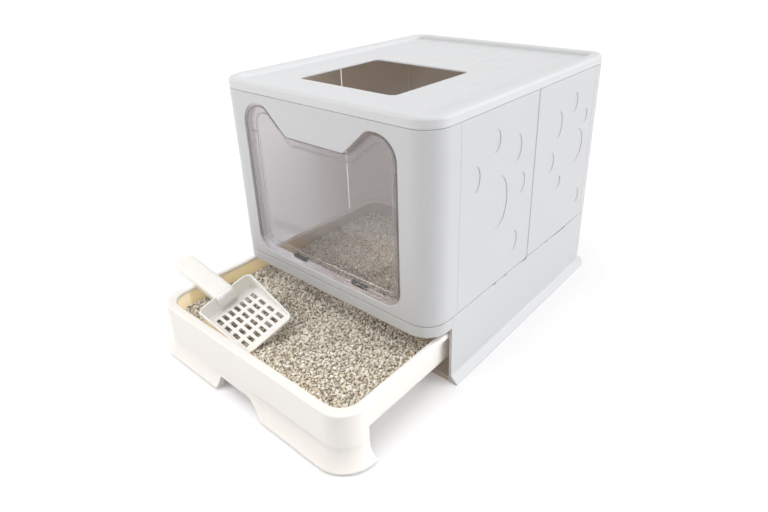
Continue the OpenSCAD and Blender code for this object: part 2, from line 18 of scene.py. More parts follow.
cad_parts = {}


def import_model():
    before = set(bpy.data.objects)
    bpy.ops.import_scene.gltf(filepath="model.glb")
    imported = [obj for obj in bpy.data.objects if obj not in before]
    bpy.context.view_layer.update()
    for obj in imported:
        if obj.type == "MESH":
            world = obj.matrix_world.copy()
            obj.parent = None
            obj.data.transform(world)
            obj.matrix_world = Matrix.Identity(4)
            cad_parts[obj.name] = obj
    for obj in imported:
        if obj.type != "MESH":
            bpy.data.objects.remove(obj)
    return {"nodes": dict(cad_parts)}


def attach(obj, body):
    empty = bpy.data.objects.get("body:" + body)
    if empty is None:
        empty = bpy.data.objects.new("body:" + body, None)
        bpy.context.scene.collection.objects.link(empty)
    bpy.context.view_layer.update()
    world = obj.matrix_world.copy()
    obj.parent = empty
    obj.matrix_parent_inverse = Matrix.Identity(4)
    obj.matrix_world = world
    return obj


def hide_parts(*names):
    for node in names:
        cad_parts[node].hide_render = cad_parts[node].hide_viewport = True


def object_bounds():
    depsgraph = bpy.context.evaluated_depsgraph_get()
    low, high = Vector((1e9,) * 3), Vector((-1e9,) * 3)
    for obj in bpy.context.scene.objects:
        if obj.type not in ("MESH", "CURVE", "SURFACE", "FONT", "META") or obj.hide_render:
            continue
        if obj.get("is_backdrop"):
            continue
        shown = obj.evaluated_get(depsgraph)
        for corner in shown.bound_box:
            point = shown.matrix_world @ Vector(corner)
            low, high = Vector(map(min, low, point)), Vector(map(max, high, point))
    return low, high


LOG = logging.getLogger("litter_box")
MM = 0.001
SEED = 7
# Vertex attribute that holds painted shade along the flap's thick edge.
TONE = "tone"
BLACK = (0.0, 0.0, 0.0)
WHITE = (1.0, 1.0, 1.0)
WELD = 0.01
PARALLEL = 0.999999
LEAST_TURN = 1e-4

Point = tuple[float, float]
Triple = tuple[float, float, float]
Four = tuple[float, float, float, float]
Ring = list[Vector]
Inputs = dict[str | int, object]
Socket = bpy.types.NodeSocket
Mesh = bpy.types.Mesh
Object = bpy.types.Object


# ---- Names ----


class Body(Enum):
    """The bodies of the mechanism."""

    BASE = "base"
    DRAWER = "drawer"
    SCOOP = "scoop"
    BACK = "back"
    RIGHT_REAR = "right_rear"
    RIGHT_FRONT = "right_front"
    LEFT_REAR = "left_rear"
    LEFT_FRONT = "left_front"
    FRONT = "front"
    FLAP = "flap"
    LID = "lid"


class Slot(Enum):
    """The record's material slots."""

    PANEL = "panel_plastic"
    LID = "lid_plastic"
    DRAWER = "drawer_plastic"
    SCOOP = "scoop_plastic"
    LITTER = "litter_granules"
    SMOKED = "smoked_clear"
    STEEL = "pin_steel"
    MAGNET = "magnet_black"


# ---- Sizes ----


@dataclass(frozen=True)
class BoxSizes:
    """Sizes of the enclosure as a whole."""

    width: float = 383.0
    depth: float = 468.0
    height: float = 380.0
    base_h: float = 107.0
    lid_h: float = 14.0
    wall: float = 4.0
    front_r: float = 36.0
    rear_r: float = 30.0
    seam: float = 0.4
    skin: float = 1.8
    tongue_h: float = 4.0
    clear: float = 0.3
    fold_front: float = 55.0
    fold_rear: float = 41.0
    knuckle_r: float = 2.0
    knuckles: int = 5
    knuckle_gap: float = 0.5
    knuckle_flat: float = 0.58
    edge_round: float = 0.9
    rim_round: float = 0.4
    tongue_round: float = 0.3

    @property
    def side_x(self) -> float:
        """Outside face of a side panel."""
        return self.width / 2

    @property
    def inner_x(self) -> float:
        """Inside face of a side panel."""
        return self.side_x - self.wall

    @property
    def front_y(self) -> float:
        """Front face of the enclosure."""
        return -self.depth / 2

    @property
    def back_y(self) -> float:
        """Rear face of the enclosure."""
        return self.depth / 2

    @property
    def panel_z0(self) -> float:
        """Lower visible edge of the panels."""
        return self.base_h + self.seam

    @property
    def lid_z(self) -> float:
        """Lower edge of the lid."""
        return self.height - self.lid_h

    @property
    def panel_z1(self) -> float:
        """Upper visible edge of the panels."""
        return self.lid_z - self.seam

    @property
    def front_fold(self) -> float:
        """Front fold line."""
        return self.front_y + self.fold_front

    @property
    def rear_fold(self) -> float:
        """Rear fold line."""
        return self.back_y - self.fold_rear

    @property
    def mid_fold(self) -> float:
        """Middle fold line."""
        return (self.front_fold + self.rear_fold) / 2


@dataclass(frozen=True)
class BaseSizes:
    """Sizes of the base tray."""

    foot_out: float = 9.6
    foot_h: float = 12.0
    foot_edge: float = 2.0
    floor_t: float = 3.0
    sill_h: float = 5.0
    mouth_d: float = 44.0
    rail_h: float = 17.0
    runner_w: float = 6.0
    runner_gauge: float = 240.0
    runner_top: float = 29.7
    clip_slots: tuple[Point, ...] = ((-90, 6), (-60, 6), (-8, 13), (66, 8), (94, 45))
    clip_h: float = 1.6
    foot_bend: float = 5.0
    foot_round: float = 1.0
    rail_round: Point = (2.2, 1.2)


@dataclass(frozen=True)
class DrawerSizes:
    """Sizes of the litter drawer, standing open."""

    opened: float = 150.0
    proud: float = 7.5
    height: float = 82.0
    basin_z: float = 30.0
    wall: float = 3.0
    rim_side: float = 9.0
    rim_front: float = 13.5
    rim_lip: float = 8.0
    slide_gap: float = 1.0
    wing_gap: float = 12.0
    rim_round: float = 3.5
    inner_round: float = 3.0
    basin_r: float = 26.0
    draft: float = 1.5
    floor_round: float = 9.0
    rear_gap: float = 5.0
    flare_h: float = 26.0
    foot_clear: float = 4.0
    arch_x: float = 5.0
    arch_half: float = 53.0
    arch_lean: float = 2.0
    arch_sweep: float = 42.0
    sweep_r: float = 24.0
    arch_h: float = 20.0
    arch_r: float = 3.0
    toe_l: float = 9.0
    toe_t: float = 0.8
    step_d: float = 1.5
    step_ahead: float = 10.0
    step_h: float = 64.0
    litter_z: float = 60.0


@dataclass(frozen=True)
class DoorSizes:
    """Sizes of the doorway and its flap."""

    half: float = 141.0
    sill_rise: float = 13.0
    ear_drop: float = 14.0
    ear_h: float = 37.0
    brow_half: float = 54.0
    ear_inner: float = 95.0
    sill_r: float = 25.0
    ear_r: float = 32.0
    ear_inner_r: float = 20.0
    brow_r: float = 12.0
    frame_d: float = 15.0
    frame_t: float = 3.0
    gap: float = 2.5
    back: float = 8.0
    band_t: float = 4.0
    band_w: float = 12.5
    pane_t: float = 2.0
    flange_t: float = 1.6
    flange_in: float = 1.0
    pin_drop: float = 45.5
    swing_clear: float = 0.8
    brow_run: float = 12.0
    lip: float = 1.6
    magnet_l: float = 28.0
    magnet_h: float = 2.4
    magnet_gauge: float = 120.0


@dataclass(frozen=True)
class LidSizes:
    """Sizes of the lid."""

    edge_w: float = 19.5
    rise: float = 7.0
    deck_t: float = 3.0
    edge_r: float = 5.5
    entry_w: float = 183.0
    entry_d: float = 172.0
    entry_x: float = -19.5
    entry_y: float = 79.0
    entry_r: float = 11.0
    entry_round: float = 1.4
    rib_h: float = 0.8
    rib_w: float = 3.0
    rib_pitch: float = 24.0
    rib_reach: float = 0.36
    rib_fade: float = 6.0
    heel_r: float = 2.0


@dataclass(frozen=True)
class ScoopSizes:
    """Sizes and pose of the scoop."""

    pan_l: float = 107.0
    mouth_w: float = 78.0
    pan_w: float = 90.0
    pan_h: float = 27.0
    lip_low: float = 5.0
    pan_r: float = 10.0
    wall: float = 2.4
    length: float = 238.0
    handle_w: float = 31.0
    handle_d: float = 16.0
    cols: int = 7
    rows: int = 4
    slot_l: float = 15.0
    slot_w: float = 5.5
    pitch_x: float = 9.9
    pitch_y: float = 21.5
    start: float = 20.5
    x: float = -2.5
    inwards: float = 58.5
    turn: float = -4.8
    tilt: float = 1.7
    roll: float = 16.0
    under_r: float = 3.5
    rim_r: float = 1.1
    inner_r: float = 5.0
    handle_r: float = 6.0

    @property
    def sag(self) -> float:
        """How far the pan's lowest edge hangs under the mouth's middle."""
        rise = math.sin(math.radians(self.tilt))
        fall = math.cos(math.radians(self.tilt)) * math.sin(math.radians(self.roll))
        mouth = fall * (self.mouth_w / 2 - self.pan_r) - rise * self.pan_r
        back = fall * (self.pan_w / 2 - self.pan_r) - rise * (self.pan_l - self.pan_r)
        return max(mouth, back) + self.pan_r * math.hypot(rise, fall)


@dataclass(frozen=True)
class OvalSizes:
    """The sunk ovals of a side panel's halves.

    Attributes:
        sink: Their depth.
        upright: Share of that depth that goes straight in.
        soft: How far the rest draws the outline in.
        front: Ovals of a front half as (place along, place up, half width, half height), with
            the places as shares from its middle and from its foot.
        rear: The same for a rear half.
    """

    sink: float = 1.0
    upright: float = 0.35
    soft: float = 0.9
    front: tuple[Four, ...] = (
        (-0.032, 0.492, 26, 38.5),
        (-0.086, 0.834, 11, 15),
        (0.21, 0.741, 12, 19),
        (-0.328, 0.689, 11, 17.5),
        (0.301, 0.527, 11, 15.5),
        (0.237, 0.193, 11, 16),
    )
    rear: tuple[Four, ...] = (
        (0.215, 0.546, 28, 28.5),
        (0.124, 0.834, 11, 15),
        (-0.14, 0.743, 12, 20.5),
        (0.355, 0.716, 10, 11.5),
        (-0.226, 0.533, 11, 15),
        (-0.059, 0.375, 10, 10),
        (0.36, 0.181, 10, 13),
    )


BOX = BoxSizes()
OVALS = OvalSizes()
BASE = BaseSizes()
DRAWER = DrawerSizes()
DOOR = DoorSizes()
LID = LidSizes()
SCOOP = ScoopSizes()

FASCIA_Y = BOX.front_y - DRAWER.proud - DRAWER.opened
MOUTH_Y = BOX.front_y + BASE.mouth_d
FASCIA_BACK = MOUTH_Y - DRAWER.opened - DRAWER.wing_gap
DRAWER_BACK = BOX.back_y - BOX.wall - DRAWER.rear_gap - DRAWER.opened
RIM_X = BOX.inner_x - DRAWER.slide_gap
BASIN_X = RIM_X - DRAWER.rim_side
BASIN_FRONT = FASCIA_Y + DRAWER.rim_front
BASIN_BACK = DRAWER_BACK - DRAWER.rim_side
BASIN_Y = (BASIN_BACK + BASIN_FRONT) / 2
BASIN_HALF = (BASIN_BACK - BASIN_FRONT) / 2
SILL_Z = BOX.base_h + DOOR.sill_rise
EAR_Z = BOX.lid_z - DOOR.ear_drop
BROW_Z = EAR_Z - DOOR.ear_h
FLAP_Y = BOX.front_y + DOOR.back + DOOR.band_t / 2
PIN_Z = EAR_Z - DOOR.pin_drop
BROW_REACH = math.sqrt((BROW_Z - PIN_Z - DOOR.swing_clear) ** 2 - (BROW_Z - PIN_Z - DOOR.gap) ** 2)


# ---- Plane outlines ----


def steps_to(end: float, count: int) -> list[float]:
    """Even steps from 0 to end, without 0."""
    return [end * k / count for k in range(1, count + 1)]


def arc(cx: float, cy: float, r: float, a0: float, a1: float, steps: int) -> list[Point]:
    """Points on a circle from angle a0 to a1, in degrees.

    Args:
        cx: Centre, across.
        cy: Centre, up.
        r: Radius.
        a0: First angle, whose point is left out.
        a1: Last angle.
        steps: Number of chords.

    Returns:
        The points after the first one.
    """
    angles = [math.radians(a0 + a) for a in steps_to(a1 - a0, steps)]
    return [(cx + r * math.cos(a), cy + r * math.sin(a)) for a in angles]


@dataclass(frozen=True)
class Outline:
    """A run of straight lines joined by round corners, with its inside on the left.

    Attributes:
        corners: Each corner as (x, y, radius).
        closed: Whether the last corner joins the first.
        steps: Chords in each round corner.
    """

    corners: tuple[Triple, ...]
    closed: bool = True
    steps: int = 8

    def _sides(self, i: int) -> tuple[Vector, Vector]:
        """Unit directions into and out of corner i."""
        n = len(self.corners)
        here = Vector(self.corners[i][:2])
        before = here - Vector(self.corners[(i - 1) % n][:2])
        after = Vector(self.corners[(i + 1) % n][:2]) - here
        if not self.closed and i == 0:
            before = after
        if not self.closed and i == n - 1:
            after = before
        return before.normalized(), after.normalized()

    def inset(self, d: float) -> "Outline":
        """The same outline moved to its left by d.

        Args:
            d: Distance; a negative one grows the outline.

        Returns:
            The moved outline, with its corner radii changed to match.
        """
        moved = []
        for i, (x, y, r) in enumerate(self.corners):
            u, v = self._sides(i)
            nu, nv = Vector((-u.y, u.x)), Vector((-v.y, v.x))
            shift = (nu + nv) * (d / (1 + nu.dot(nv)))
            bend = 1.0 if u.cross(v) >= 0 else -1.0
            moved.append((x + shift.x, y + shift.y, max(0.0, r - bend * d) if r > 0 else 0.0))
        return Outline(tuple(moved), self.closed, self.steps)

    def points(self) -> list[Point]:
        """The outline's points, as many for any inset of it."""
        found: list[Point] = []
        for i, (x, y, r) in enumerate(self.corners):
            u, v = self._sides(i)
            angle = abs(u.angle_signed(v)) if u.dot(v) < PARALLEL else 0.0
            bend = 1.0 if u.cross(v) >= 0 else -1.0
            if angle < LEAST_TURN:
                found.append((x, y))
                continue
            start = Vector((x, y)) - u * r * math.tan(angle / 2)
            centre = start + Vector((-u.y, u.x)) * bend * r
            arm = start - centre
            for k in range(self.steps + 1):
                a = bend * angle * k / self.steps
                c, s = math.cos(a), math.sin(a)
                found.append((centre.x + arm.x * c - arm.y * s, centre.y + arm.x * s + arm.y * c))
        return found


def symmetric(right: Sequence[Triple], steps: int) -> Outline:
    """A closed outline from its right half's corners, beginning with the mirrored first one."""
    left = [(-x, y, r) for x, y, r in reversed(right)]
    return Outline((left[-1], *right, *left[:-1]), True, steps)


def rectangle(w: float, y0: float, y1: float, r0: float, r1: float, steps: int = 8) -> Outline:
    """A closed rectangle centred on X, with front and rear corner radii."""
    return symmetric([(w / 2, y0, r0), (w / 2, y1, r1)], steps)


def front_run(w: float, y0: float, y1: float, r: float) -> Outline:
    """An open U that runs down the left side, along the front and up the right side."""
    x = w / 2
    return Outline(((-x, y1, 0), (-x, y0, r), (x, y0, r), (x, y1, 0)), False, 12)


def rear_run(w: float, y0: float, y1: float, r: float) -> Outline:
    """An open U that runs up the right side, along the back and down the left side."""
    x = w / 2
    return Outline(((x, y0, 0), (x, y1, r), (-x, y1, r), (-x, y0, 0)), False, 12)


def doorway() -> Outline:
    """The cat-eared doorway in the plane of the front panel, as (x, z)."""
    d = DOOR
    right = [
        (d.half, SILL_Z, d.sill_r),
        (d.half, EAR_Z, d.ear_r),
        (d.ear_inner, EAR_Z, d.ear_inner_r),
        (d.brow_half, BROW_Z, d.brow_r),
    ]
    return symmetric(right, 10)


def entry() -> Outline:
    """The entry opening in the lid."""
    x0 = LID.entry_x - LID.entry_w / 2
    y0 = BOX.front_y + LID.entry_y
    x1, y1, r = x0 + LID.entry_w, y0 + LID.entry_d, LID.entry_r
    return Outline(((x0, y0, r), (x1, y0, r), (x1, y1, r), (x0, y1, r)), True, 10)


# ---- Shader building ----


class Val:
    """A shader socket that takes part in ordinary arithmetic."""

    def __init__(self, tree: "Tree", socket: Socket) -> None:
        """Wraps socket, which belongs to tree."""
        self.tree = tree
        self.socket = socket

    def _math(self, op: str, *others: "Val | float") -> "Val":
        return self.tree.math(op, self, *others)

    def __add__(self, other: "Val | float") -> "Val":
        return self._math("ADD", other)

    __radd__ = __add__

    def __sub__(self, other: "Val | float") -> "Val":
        return self._math("SUBTRACT", other)

    def __rsub__(self, other: float) -> "Val":
        return self.tree.math("SUBTRACT", other, self)

    def __mul__(self, other: "Val | float") -> "Val":
        return self._math("MULTIPLY", other)

    __rmul__ = __mul__

    def __truediv__(self, other: "Val | float") -> "Val":
        return self._math("DIVIDE", other)

    def absolute(self) -> "Val":
        """The value without its sign."""
        return self._math("ABSOLUTE")

    def smooth(self, lo: float, hi: float) -> "Val":
        """A soft step from 0 at lo to 1 at hi."""
        made = self.tree.node(
            "ShaderNodeMapRange",
            {"Value": self, "From Min": lo, "From Max": hi, "To Min": 0.0, "To Max": 1.0},
            interpolation_type="SMOOTHSTEP",
        )
        return Val(self.tree, made.outputs["Result"])


class Tree:
    """Builds one node tree."""

    def __init__(self, tree: bpy.types.NodeTree) -> None:
        """Empties tree and builds in it."""
        self.tree = tree
        tree.nodes.clear()

    def node(self, kind: str, ins: Inputs | None = None, **props: object) -> bpy.types.Node:
        """Makes one node.

        Args:
            kind: The node's type name.
            ins: Input name or index to a Val, a socket or a constant.
            **props: Values of the node's own properties.

        Returns:
            The node.
        """
        made = self.tree.nodes.new(kind)
        for name, value in props.items():
            setattr(made, name, value)
        for name, value in (ins or {}).items():
            target = made.inputs[name]
            if isinstance(value, Val):
                self.tree.links.new(value.socket, target)
            elif isinstance(value, Socket):
                self.tree.links.new(value, target)
            else:
                target.default_value = value
        return made

    def math(self, op: str, *values: "Val | float") -> Val:
        """One arithmetic step on numbers."""
        made = self.node("ShaderNodeMath", dict(enumerate(values)), operation=op)
        return Val(self, made.outputs[0])

    def coords(self) -> Val:
        """Object coordinates, in metres."""
        return Val(self, self.node("ShaderNodeTexCoord").outputs["Object"])

    def axes(self, vector: Val) -> tuple[Val, Val, Val]:
        """The three parts of a vector."""
        made = self.node("ShaderNodeSeparateXYZ", {0: vector})
        return tuple(Val(self, made.outputs[i]) for i in range(3))

    def noise(self, vector: Val, scale: float, detail: float = 2.0, roughness: float = 0.5) -> Val:
        """Noise between 0 and 1.

        Args:
            vector: Where it is read.
            scale: Cells per metre.
            detail: Number of finer layers.
            roughness: Strength of the finer layers.

        Returns:
            The noise value.
        """
        made = self.node(
            "ShaderNodeTexNoise",
            {"Vector": vector, "Scale": scale, "Detail": detail, "Roughness": roughness},
        )
        return Val(self, made.outputs[0])

    def ramp(self, value: Val, low: "Val | Sequence[float]", high: "Val | Sequence[float]") -> Val:
        """A colour between low and high."""
        ends = [end if isinstance(end, Val) else (*end, 1.0) for end in (low, high)]
        made = self.node("ShaderNodeMix", {0: value, 6: ends[0], 7: ends[1]}, data_type="RGBA")
        return Val(self, made.outputs[2])

    def looked_at(self) -> Val:
        """1 for light that goes to the camera straight, mirrored or through a clear sheet."""
        path = self.node("ShaderNodeLightPath")
        camera, glossy, through = (
            Val(self, path.outputs[f"Is {kind} Ray"]) for kind in ("Camera", "Glossy", "Transmission")
        )
        return self.math("MINIMUM", camera + glossy + through, 1.0)

    def shader(self, kind: str, ins: Inputs) -> Socket:
        """One shader's output, from the end of its type name and its inputs."""
        return self.node("ShaderNode" + kind, ins).outputs[0]

    def blend(self, share: Val, first: Socket, second: Socket) -> Socket:
        """Two shaders mixed, with a share of the second one."""
        return self.shader("MixShader", {0: share, 1: first, 2: second})

    def depth(self, x: Val, y: Val, half: Point, r: "Val | float") -> Val:
        """Distance inside a rounded rectangle.

        Args:
            x: Place across, from its middle.
            y: Place along, from its middle.
            half: Its half sizes.
            r: Its corner radius.

        Returns:
            The distance, negative outside.
        """
        dx = self.math("MAXIMUM", x.absolute() + (r - half[0]), 0.0)
        dy = self.math("MAXIMUM", y.absolute() + (r - half[1]), 0.0)
        return r - self.math("SQRT", dx * dx + dy * dy)

    def bump(self, height: Val, depth: float) -> Val:
        """A normal from a height between 0 and 1.

        Args:
            height: The height.
            depth: Real depth of one unit of height, in metres.

        Returns:
            The normal.
        """
        made = self.node("ShaderNodeBump", {"Height": height, "Distance": depth, "Strength": 1.0})
        return Val(self, made.outputs[0])


@dataclass(frozen=True)
class Finish:
    """What every finish has.

    Attributes:
        name: The material's name.
        color: Linear base colour.
        slot: The record's material slot, if it has one; not used.
    """

    name: str
    color: Triple
    slot: Slot | None = None

    def shade(self, tree: Tree) -> Socket:
        """Builds the shader and returns its output socket."""
        raise NotImplementedError

    def material(self) -> bpy.types.Material:
        """The Blender material, made once."""
        found = bpy.data.materials.get(self.name)
        if found:
            return found
        made = bpy.data.materials.new(self.name)
        made.use_nodes = True
        tree = Tree(made.node_tree)
        tree.node("ShaderNodeOutputMaterial", {"Surface": self.shade(tree)})
        made.diffuse_color = (*self.color, 1.0)
        return made


@dataclass(frozen=True)
class Plastic(Finish):
    """Moulded plastic with a fine satin grain.

    Attributes:
        roughness: Middle roughness.
        spread: How much the roughness varies.
        grain: Cells of the moulded grain per metre.
        grain_depth: Depth of that grain, in metres.
        wave_depth: Depth of the slow unevenness of a large moulding, in metres.
        tint: How far the colour drifts.
        glow: Share of light that scatters inside.
        coat: Weight of a clear skin.
        cloud: Cells of the slow drift per metre.
        mottle: Cells of the quick drift per metre.
        wave: Cells of the slow unevenness per metre.
        ior: Refraction.
        radius: How far light scatters inside, by colour, in metres.
    """

    roughness: float = 0.42
    spread: float = 0.08
    grain: float = 1400.0
    grain_depth: float = 0.00003
    wave_depth: float = 0.0002
    tint: float = 0.02
    glow: float = 0.0
    coat: float = 0.0
    cloud: float = 6.0
    mottle: float = 160.0
    wave: float = 9.0
    ior: float = 1.48
    radius: Triple = (0.006, 0.005, 0.004)

    def painted_glow_color(self, tree: Tree, at: Val) -> Val | None:
        """Painted light: an emitted glow that stands in for light reaching the surface, if any."""
        return None

    def paint(self, tree: Tree, at: Val, mix: Val) -> Val:
        """The base colour, drifting a little around the finish's own."""
        low = tuple(c * (1 - self.tint) for c in self.color)
        high = tuple(min(1.0, c * (1 + self.tint)) for c in self.color)
        return tree.ramp(mix, low, high)

    def height(self, tree: Tree, at: Val) -> Val:
        """Moulded relief as a height in units of grain_depth."""
        fine = tree.noise(at, self.grain, 2.0, 0.6)
        slow = tree.noise(at, self.wave, 1.0, 0.4)
        return fine + slow * (self.wave_depth / self.grain_depth)

    def shade(self, tree: Tree) -> Socket:
        """Builds the shader."""
        at = tree.coords()
        slow = tree.noise(at, self.cloud, 3.0, 0.5)
        mottle = tree.noise(at, self.mottle, 3.0, 0.6)
        ins: Inputs = {
            "Base Color": self.paint(tree, at, slow * 0.7 + mottle * 0.3),
            "Roughness": (mottle - 0.5) * self.spread + (slow - 0.5) * self.spread + self.roughness,
            "Normal": tree.bump(self.height(tree, at), self.grain_depth),
            "IOR": self.ior,
            "Coat Weight": self.coat,
            "Coat Roughness": 0.12,
        }
        # Painted glow: emission on the surface where a finish has one, no lamp.
        painted_glow = self.painted_glow_color(tree, at)
        if painted_glow:
            ins["Emission Color"] = painted_glow
            ins["Emission Strength"] = 1.0
        if self.glow > 0:
            ins["Subsurface Weight"] = self.glow
            ins["Subsurface Radius"] = self.radius
            ins["Subsurface Scale"] = 1.0
        return tree.shader("BsdfPrincipled", ins)


@dataclass(frozen=True)
class PanelPlastic(Plastic):
    """The enclosure's plastic, with painted warm shade inside, painted light near the front and low on the
    left wall, and a painted glowing line along the left middle fold.

    Attributes:
        inside: Painted warm shade on the faces inside the enclosure.
        painted_light_inside: Lighter painted colour inside, low on the left and near the front, where the
            lamp stands close.
        painted_glow: Painted light, a faint emitted glow on the inside faces.
        painted_glow_low: The same painted glow, stronger lower down on the left.
        painted_glow_near: The same painted glow there near the front.
        painted_fold_line: A painted bright line, glowing, along the left middle fold.
        painted_line_half: Half the width of that painted line, in metres.
        skin: How far before the inner face its colour begins and is whole, in metres.
        low_z: Where the low part begins and is whole, up, in metres.
        near_y: Where the near part begins and is whole, along, in metres.
        front_y: The same for the painted glow near the front.
        left_x: The same for the left side, across.
    """

    inside: Triple = (0.62, 0.54, 0.46)
    painted_light_inside: Triple = (0.60, 0.59, 0.60)
    painted_glow: Triple = (0.052, 0.044, 0.038)
    painted_glow_low: Triple = (0.085, 0.080, 0.080)
    painted_glow_near: Triple = (0.28, 0.285, 0.305)
    painted_fold_line: Triple = (0.70, 0.66, 0.64)
    painted_line_half: float = 0.0013
    skin: Point = (0.0014, 0.0006)
    low_z: Point = (0.31, 0.22)
    near_y: Point = (-0.06, -0.13)
    front_y: Point = (0.02, -0.15)
    left_x: Point = (0.1, -0.1)

    def within(self, tree: Tree, at: Val) -> Val:
        """1 on the faces inside the enclosure's rounded outline."""
        x, y, _ = tree.axes(at)
        middle, spread = (BOX.front_r + BOX.rear_r) / 2 * MM, (BOX.front_r - BOX.rear_r) / 2 * MM
        r = middle - tree.math("SIGN", y) * spread
        depth = tree.depth(x, y, (BOX.side_x * MM, BOX.back_y * MM), r)
        return depth.smooth(BOX.wall * MM - self.skin[0], BOX.wall * MM - self.skin[1])

    def near(self, tree: Tree, at: Val) -> Val:
        """1 where painted light falls: low on the left wall and over its whole height near the front."""
        x, y, z = tree.axes(at)
        near = tree.math("MAXIMUM", z.smooth(*self.low_z), y.smooth(*self.near_y))
        return near * x.smooth(*self.left_x)

    def paint(self, tree: Tree, at: Val, mix: Val) -> Val:
        """The plastic's colour, with painted warm shade inside and painted light low on the left and near
        the front.
        """
        # Painted shade inside the enclosure, lighter where painted light falls.
        inside = tree.ramp(self.near(tree, at), self.inside, self.painted_light_inside)
        return tree.ramp(self.within(tree, at), super().paint(tree, at, mix), inside)

    def painted_glow_color(self, tree: Tree, at: Val) -> Val:
        """Painted light: a faint emitted glow on the inside faces, with a painted bright line along the left
        middle fold.
        """
        x, y, _ = tree.axes(at)
        low = tree.ramp(y.smooth(*self.front_y), self.painted_glow_low, self.painted_glow_near)
        lit = tree.ramp(self.near(tree, at), self.painted_glow, low)
        off = (y - BOX.mid_fold * MM).absolute()
        # Painted bright line along the left middle fold.
        fold = off.smooth(self.painted_line_half, self.painted_line_half * 0.6) * x.smooth(*self.left_x)
        return tree.ramp(self.within(tree, at), BLACK, tree.ramp(fold, lit, self.painted_fold_line))


@dataclass(frozen=True)
class DrawerPlastic(Plastic):
    """The drawer's plastic, with painted warm shade and a painted glow in the basin, and a dished relief
    beside its finger arch.

    Attributes:
        dish_top: Where the dish's edge starts, as (x, z) in metres.
        dish_foot: Where it ends.
        dish_depth: Depth of the dish, in metres.
        dish_edge: Where its edge begins and is whole, across that line, in metres.
        dish_up: The same upwards from its top.
        dish_run: How far it runs out to the left, in metres.
        inside: Painted warm shade inside the basin.
        painted_shade_rear: Deeper painted shade in the enclosure, towards the rear.
        painted_glow: Painted light, an emitted glow on the basin's inside walls.
        painted_glow_front: A brighter painted glow in the front corners.
        rear_y: Where the rear painted shade begins and is whole, along, in metres.
        corner_y: The same for the painted glow in the front corners.
        open_y: The same for the painted glow as a whole.
        lean: How far the walls lean in over their height, in metres.
        rim_fade: Where they begin and are whole, under the rim, in metres.
        floor_fade: The same over the floor.
    """

    dish_top: Point = (0.030, 0.033)
    dish_foot: Point = (0.057, 0.015)
    dish_depth: float = 0.0016
    dish_edge: Point = (-0.005, 0.0006)
    dish_up: Point = (0.004, -0.006)
    dish_run: float = 0.03
    inside: Triple = (0.80, 0.69, 0.51)
    painted_shade_rear: Triple = (0.66, 0.61, 0.56)
    painted_glow: Triple = (0.25, 0.20, 0.10)
    painted_glow_front: Triple = (0.46, 0.40, 0.28)
    rear_y: Point = (-0.20, -0.06)
    corner_y: Point = (-0.346, -0.350)
    open_y: Point = (-0.12, -0.24)
    lean: float = 0.0019
    rim_fade: Point = (0.0026, 0.006)
    floor_fade: Point = (0.002, 0.004)

    def within(self, tree: Tree, at: Val) -> Val:
        """1 on the basin's inner walls, whose outline narrows with the draft."""
        x, y, z = tree.axes(at)
        depth = tree.depth(x, y - BASIN_Y * MM, (BASIN_X * MM, BASIN_HALF * MM), DRAWER.basin_r * MM)
        top, foot = DRAWER.height * MM, DRAWER.basin_z * MM
        up = (z - foot) / (top - foot)
        wall = (depth + up * self.lean).smooth(0.0, 0.0008)
        rim, floor = self.rim_fade, self.floor_fade
        low = z.smooth(top - rim[0], top - rim[1])
        return wall * low * z.smooth(foot + floor[0], foot + floor[1])

    def paint(self, tree: Tree, at: Val, mix: Val) -> Val:
        """The plastic's colour, with painted warm shade inside the basin, deeper towards the rear."""
        # Painted shade in the basin, deeper towards the rear.
        inside = tree.ramp(tree.axes(at)[1].smooth(*self.rear_y), self.inside, self.painted_shade_rear)
        return tree.ramp(self.within(tree, at), super().paint(tree, at, mix), inside)

    def painted_glow_color(self, tree: Tree, at: Val) -> Val:
        """Painted light: an emitted glow on the basin's inside walls, brighter in the front corners."""
        along = tree.axes(at)[1]
        # Painted glow, brighter in the front corners.
        glow = tree.ramp(along.smooth(*self.corner_y), self.painted_glow, self.painted_glow_front)
        return tree.ramp(self.within(tree, at) * along.smooth(*self.open_y), BLACK, glow)

    def height(self, tree: Tree, at: Val) -> Val:
        """The plastic's relief with the dish's soft step added."""
        x, _, z = tree.axes(at)
        (x0, z0), (x1, z1) = self.dish_top, self.dish_foot
        run = math.hypot(x1 - x0, z1 - z0)
        across = (x - x0) * ((z0 - z1) / run) + (z - z0) * ((x1 - x0) / run)
        inside = across.smooth(*self.dish_edge) * z.smooth(z0 + self.dish_up[0], z0 + self.dish_up[1])
        step = (1 - inside) * x.smooth(x0 - self.dish_run, x0)
        return super().height(tree, at) + step * (self.dish_depth / self.grain_depth)


